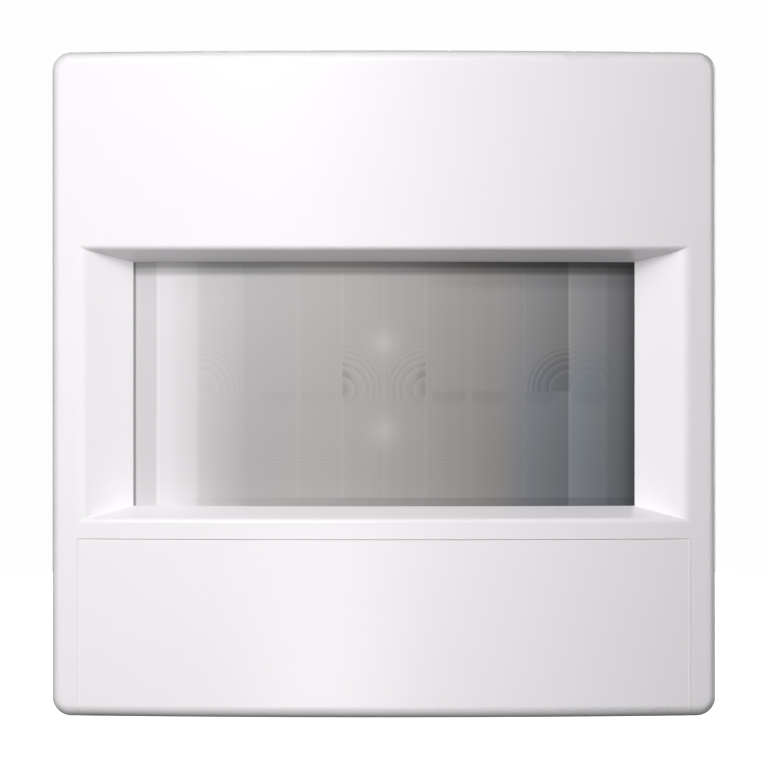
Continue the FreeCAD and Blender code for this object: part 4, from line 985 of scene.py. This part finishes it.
# %% [markdown]
# ## Scale marks under the flap
#
# Behind the flap are three dials and a slide switch. Each dial turns 270 degrees, so eleven printed
# ticks stand round it, and longer ones mark the ends and the middle. The ticks are one short bar,
# copied along an arc by Geometry Nodes: their number, radius and length are the tree's inputs. The
# switch has three positions, and the same tree on a very wide arc gives it three upright marks.

# %% The tree of the ticks
panel_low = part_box("control_panel")[0]
TICKS = {"Count": 11, "Sweep": math.radians(270), "Radius": 3.75, "Length": 0.7, "Width": 0.16,
         "Height": 0.03, "Centre X": 0.0, "Centre Z": 0.0, "Front": panel_low.y / MM}
LONGER = 0.5
MIDDLE_TICK = 0.01
END_TICK = 0.49


def tick_tree(material):
    """Bars on an arc, the first, middle and last of them longer."""
    maker, size, keys = new_tree("dial_ticks", TICKS)
    line = maker.add("GeometryNodeMeshLine", None, {"Count": size["Count"]})
    index = maker.add("GeometryNodeInputIndex")
    last = size["Count"] - 1.0
    along = index / last - 0.5
    turn = along * size["Sweep"]
    marked = (abs(along) < MIDDLE_TICK) + (abs(along) > END_TICK)
    long = size["Length"] * (1.0 + LONGER * marked)
    radius = size["Radius"] + long / 2.0
    across = maker.add("ShaderNodeMath", {"operation": "SINE"}, {0: turn}) * radius
    up = maker.add("ShaderNodeMath", {"operation": "COSINE"}, {0: turn}) * radius
    spot = maker.vector((size["Centre X"] + across) * MM,
                        (size["Front"] - size["Height"] / 2.0) * MM,
                        (size["Centre Z"] + up) * MM)
    spots = maker.add("GeometryNodeSetPosition", None, {"Geometry": line, "Position": spot})
    bar = maker.add("GeometryNodeMeshCube", None, {"Size": (1.0, 1.0, 1.0)})
    stretch = maker.vector(size["Width"] * MM, size["Height"] * MM, long * MM)
    copies = {"Points": spots, "Instance": bar, "Rotation": maker.vector(0.0, turn, 0.0),
              "Scale": stretch}
    finish_tree(maker, maker.add("GeometryNodeInstanceOnPoints", None, copies), material)
    return maker.tree, keys


INK = ((0.05, 0.05, 0.055, 1), (0.08, 0.08, 0.085, 1))
ink_pattern = moulded(*INK, blotch=0.6, gloss=0.5, grain=0.1)
ticks, tick_keys = tick_tree(make_finish("scale_ink", ink_pattern, bump=0.002))
print("tick tree:", len(ticks.nodes), "nodes")

# %% Marks round the dials and over the switch
SWITCH_TRAVEL = 2.5
SWITCH_ARC = 60.0
SWITCH_MARKS = 1.9
SWITCH_TICKS = {"Count": 3, "Radius": SWITCH_ARC,
                "Sweep": 2 * math.asin(SWITCH_TRAVEL / SWITCH_ARC)}


def add_scale(name, control, changes, below=0.0):
    """A printed scale round the middle of a control, or round a place below it."""
    low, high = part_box(control)
    centre = (low + high) / 2 / MM
    place = {"Centre X": centre.x, "Centre Z": centre.z - below}
    scale = grown(name, ticks, tick_keys, {**TICKS, **place, **changes})
    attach(scale, "housing")
    print(scale.name, len(scale.data.polygons), "faces")


for dial in ("sensitivity", "brightness", "time"):
    add_scale(dial + "_scale", dial + "_dial", {})
add_scale("mode_scale", "mode_switch_knob", SWITCH_TICKS, below=SWITCH_ARC - SWITCH_MARKS)

# %% [markdown]
# ## Cross recesses in the screws
#
# Four countersunk screws close the housing, and their heads are seen from behind. Their solids have
# plain heads. A tapered cross is cut out of each head of a copy, so the recess is real shape. One
# outline of twelve corners, wide outside and narrow at its bottom, makes the cutter.

# %% The cutter of the recesses
RECESS_REACH = 1.15
RECESS_HALF_WIDTH = 0.24
RECESS_DEPTH = 0.8
RECESS_TAPER = 0.5
RECESS_START = 0.1


def screw_centres(mesh):
    """The middle of each of the four screws, as x and z in metres."""
    centres = []
    for side, up in ((-1, -1), (1, -1), (1, 1), (-1, 1)):
        own = [point.co for point in mesh.vertices
               if point.co.x * side > 0 and point.co.z * up > 0]
        centres.append(((min(co.x for co in own) + max(co.x for co in own)) / 2,
                        (min(co.z for co in own) + max(co.z for co in own)) / 2))
    return centres


def cross_outline():
    """The twelve corners of a cross, as x and z in metres from its middle."""
    reach, half = RECESS_REACH * MM, RECESS_HALF_WIDTH * MM
    arm = [(reach, -half), (reach, half), (half, half)]
    outline = list(arm)
    for _ in range(3):
        arm = [(-z, x) for x, z in arm]
        outline += arm
    return outline


def cross_cutters(centres, face):
    """A tapered cross at each centre, from a little outside the head's face down into the head."""
    outline = cross_outline()
    count = len(outline)
    points, faces = [], []
    for centre_x, centre_z in centres:
        first = len(points)
        for y, size in ((face + RECESS_START * MM, 1.0), (face - RECESS_DEPTH * MM, RECESS_TAPER)):
            points += [(centre_x + x * size, y, centre_z + z * size) for x, z in outline]
        faces.append(tuple(reversed(range(first, first + count))))
        faces.append(tuple(range(first + count, first + 2 * count)))
        faces += side_faces(first, count)
    mesh = bpy.data.meshes.new("cross_cutters")
    mesh.from_pydata(points, [], faces)
    return mesh


solid_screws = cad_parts["housing_screws"]
screw_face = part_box("housing_screws")[1].y
cutter_mesh = cross_cutters(screw_centres(solid_screws.data), screw_face)
print("cutter faces:", len(cutter_mesh.polygons))

# %% Cut the recesses
WELD_DISTANCE = 0.0001
SHARP_EDGE = math.radians(30)
cutter = add_object("cross_cutters", cutter_mesh)
screws = add_object("crossed_housing_screws", solid_screws.data.copy())
welded = screws.modifiers.new("weld", "WELD")
welded.merge_threshold = WELD_DISTANCE * MM
cut = screws.modifiers.new("cut", "BOOLEAN")
cut.operation = "DIFFERENCE"
cut.solver = "EXACT"
cut.object = cutter
make_plain(screws)
bpy.data.objects.remove(cutter)
crossed = screws.data
if crossed.attributes.get("custom_normal"):
    crossed.attributes.remove(crossed.attributes["custom_normal"])
crossed.shade_smooth()
crossed.set_sharp_from_angle(angle=SHARP_EDGE)
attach(screws, "housing")
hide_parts("housing_screws")
print("screw faces:", len(solid_screws.data.polygons), "before and", len(crossed.polygons), "after")

# %% [markdown]
# ## The stage
#
# The photograph has a pure white ground. A pale floor lies a little below the module, low enough
# for the open flap. The floor and the sky look white to the camera, but they send little light back
# to the module: white card from below would fill the shadows that give the window its depth.

# %% The floor
FLOOR_Z = -0.0505
FLOOR_HALF = 4.0
FLOOR_BLOTCH = 60.0
FLOOR_FADE = (0.12, 0.30)
NEAR_GREYS = (0.84, 0.88)
FAR_GREY = 0.03
NEAR_GLOW = 0.45
SKY_SEEN = 0.99
FLOOR_BOUNCE = 0.12


def stage_paint():
    """A floor that is pale to the camera and darker to the light that leaves it."""
    material = bpy.data.materials.new("pale_floor")
    maker = empty_tree(material)
    where = maker.add("ShaderNodeTexCoord", output="Object")
    cloud = maker.noise(where, FLOOR_BLOTCH)
    length = {"operation": "LENGTH"}
    away = maker.add("ShaderNodeVectorMath", length, {0: where}, output="Value")
    far = maker.ease(away, *FLOOR_FADE)
    near = maker.between(cloud, *(grey(value) for value in NEAR_GREYS))
    seen = maker.add("ShaderNodeBsdfPrincipled", None, {
        "Base Color": maker.between(far, near, grey(FAR_GREY)),
        "Roughness": 0.9,
        "Specular IOR Level": 0.1,
        "Emission Color": maker.between(far, grey(NEAR_GLOW), grey(SKY_SEEN)),
        "Emission Strength": 1.0,
    })
    unseen = maker.add("ShaderNodeBsdfDiffuse", None, {"Color": grey(FLOOR_BOUNCE)})
    to_camera = maker.add("ShaderNodeLightPath", output="Is Camera Ray")
    surface = maker.add("ShaderNodeMixShader", None, {0: to_camera, 1: unseen, 2: seen})
    maker.add("ShaderNodeOutputMaterial", None, {"Surface": surface})
    return material


floor_mesh = bpy.data.meshes.new("floor")
corners = [(-1, -1), (1, -1), (1, 1), (-1, 1)]
floor_points = [(x * FLOOR_HALF, y * FLOOR_HALF, FLOOR_Z) for x, y in corners]
floor_mesh.from_pydata(floor_points, [], [(0, 1, 2, 3)])
floor_mesh.materials.append(stage_paint())
floor = add_object("floor", floor_mesh)
print("floor at", FLOOR_Z / MM, "mm")

# %% The sky
SKY_LIGHT = 0.02
world = bpy.data.worlds.new("studio")
bpy.context.scene.world = world
maker = empty_tree(world)
to_camera = maker.add("ShaderNodeLightPath", output="Is Camera Ray")
strength = SKY_LIGHT + to_camera * (SKY_SEEN - SKY_LIGHT)
sky = maker.add("ShaderNodeBackground", None, {"Color": grey(1.0), "Strength": strength})
maker.add("ShaderNodeOutputWorld", None, {"Surface": sky})
print("sky:", SKY_SEEN, "to the camera and", SKY_LIGHT, "to the module")

# %% [markdown]
# ## Lights
#
# The light in the photograph comes softly from the upper left and close to the front. It fades
# along the cover towards the right, leaves the top edge of the window in shade and lights its
# bottom edge. Large square lamps stand for the soft boxes. They are hidden from the camera, so they
# light every view and never stand in it.

# %% Soft boxes
# Name, place and width in metres, and power in watts.
LAMPS = (
    ("key_near", (-0.04, -0.16, 0.08), 0.06, 0.052),
    ("key_middle", (-0.07, -0.28, 0.12), 0.12, 0.311),
    ("key_low", (-0.02, -0.14, -0.045), 0.04, 0.048),
    ("key_top_left", (-0.18, -0.30, 0.30), 0.25, 0.525),
    ("left_near", (-0.45, -0.45, 0.12), 0.30, 0.713),
    ("left_far", (-1.4, 0.0, 0.15), 0.5, 0.105),
    ("right_far", (1.25, -0.72, 0.15), 0.5, 4.07),
    ("back", (0.0, 1.3, 0.08), 0.3, 12.0),
    ("back_right", (0.9, 0.9, 0.15), 0.5, 5.0),
)


def face_centre(place):
    """The turn that makes a lamp look at the module's middle."""
    return (-Vector(place)).to_track_quat("-Z", "Y").to_euler()


for name, place, width, watts in LAMPS:
    lamp = bpy.data.lights.new(name, "AREA")
    lamp.shape = "SQUARE"
    lamp.size = width
    lamp.energy = watts
    stand = add_object(name, lamp)
    stand.location = place
    stand.rotation_euler = face_centre(place)
    stand.visible_camera = False
print("lamps:", ", ".join(name for name, *_ in LAMPS))

# %% [markdown]
# ## Camera
#
# The module is seen straight from the front. Its top and bottom edges bow outwards by a hair, which
# is the perspective of a crowned front from nearly nine tenths of a metre. That distance and the
# width of the frame give the focal length. Plain colours, without a film look, keep the white
# white.

# %% Camera
CAMERA_DISTANCE = 0.872
FOCAL_LENGTH = 382.0
camera_data = bpy.data.cameras.new("front_camera")
camera_data.lens = FOCAL_LENGTH
camera_data.sensor_width = 36.0
camera_data.clip_start = 0.01
camera_data.clip_end = 100.0
camera = add_object("front_camera", camera_data)
camera.location = (0.0, -CAMERA_DISTANCE, 0.0)
camera.rotation_euler = (math.radians(90), 0.0, 0.0)
bpy.context.scene.camera = camera
bpy.context.scene.view_settings.view_transform = "Standard"
print("camera", CAMERA_DISTANCE, "m away, lens", FOCAL_LENGTH, "mm")
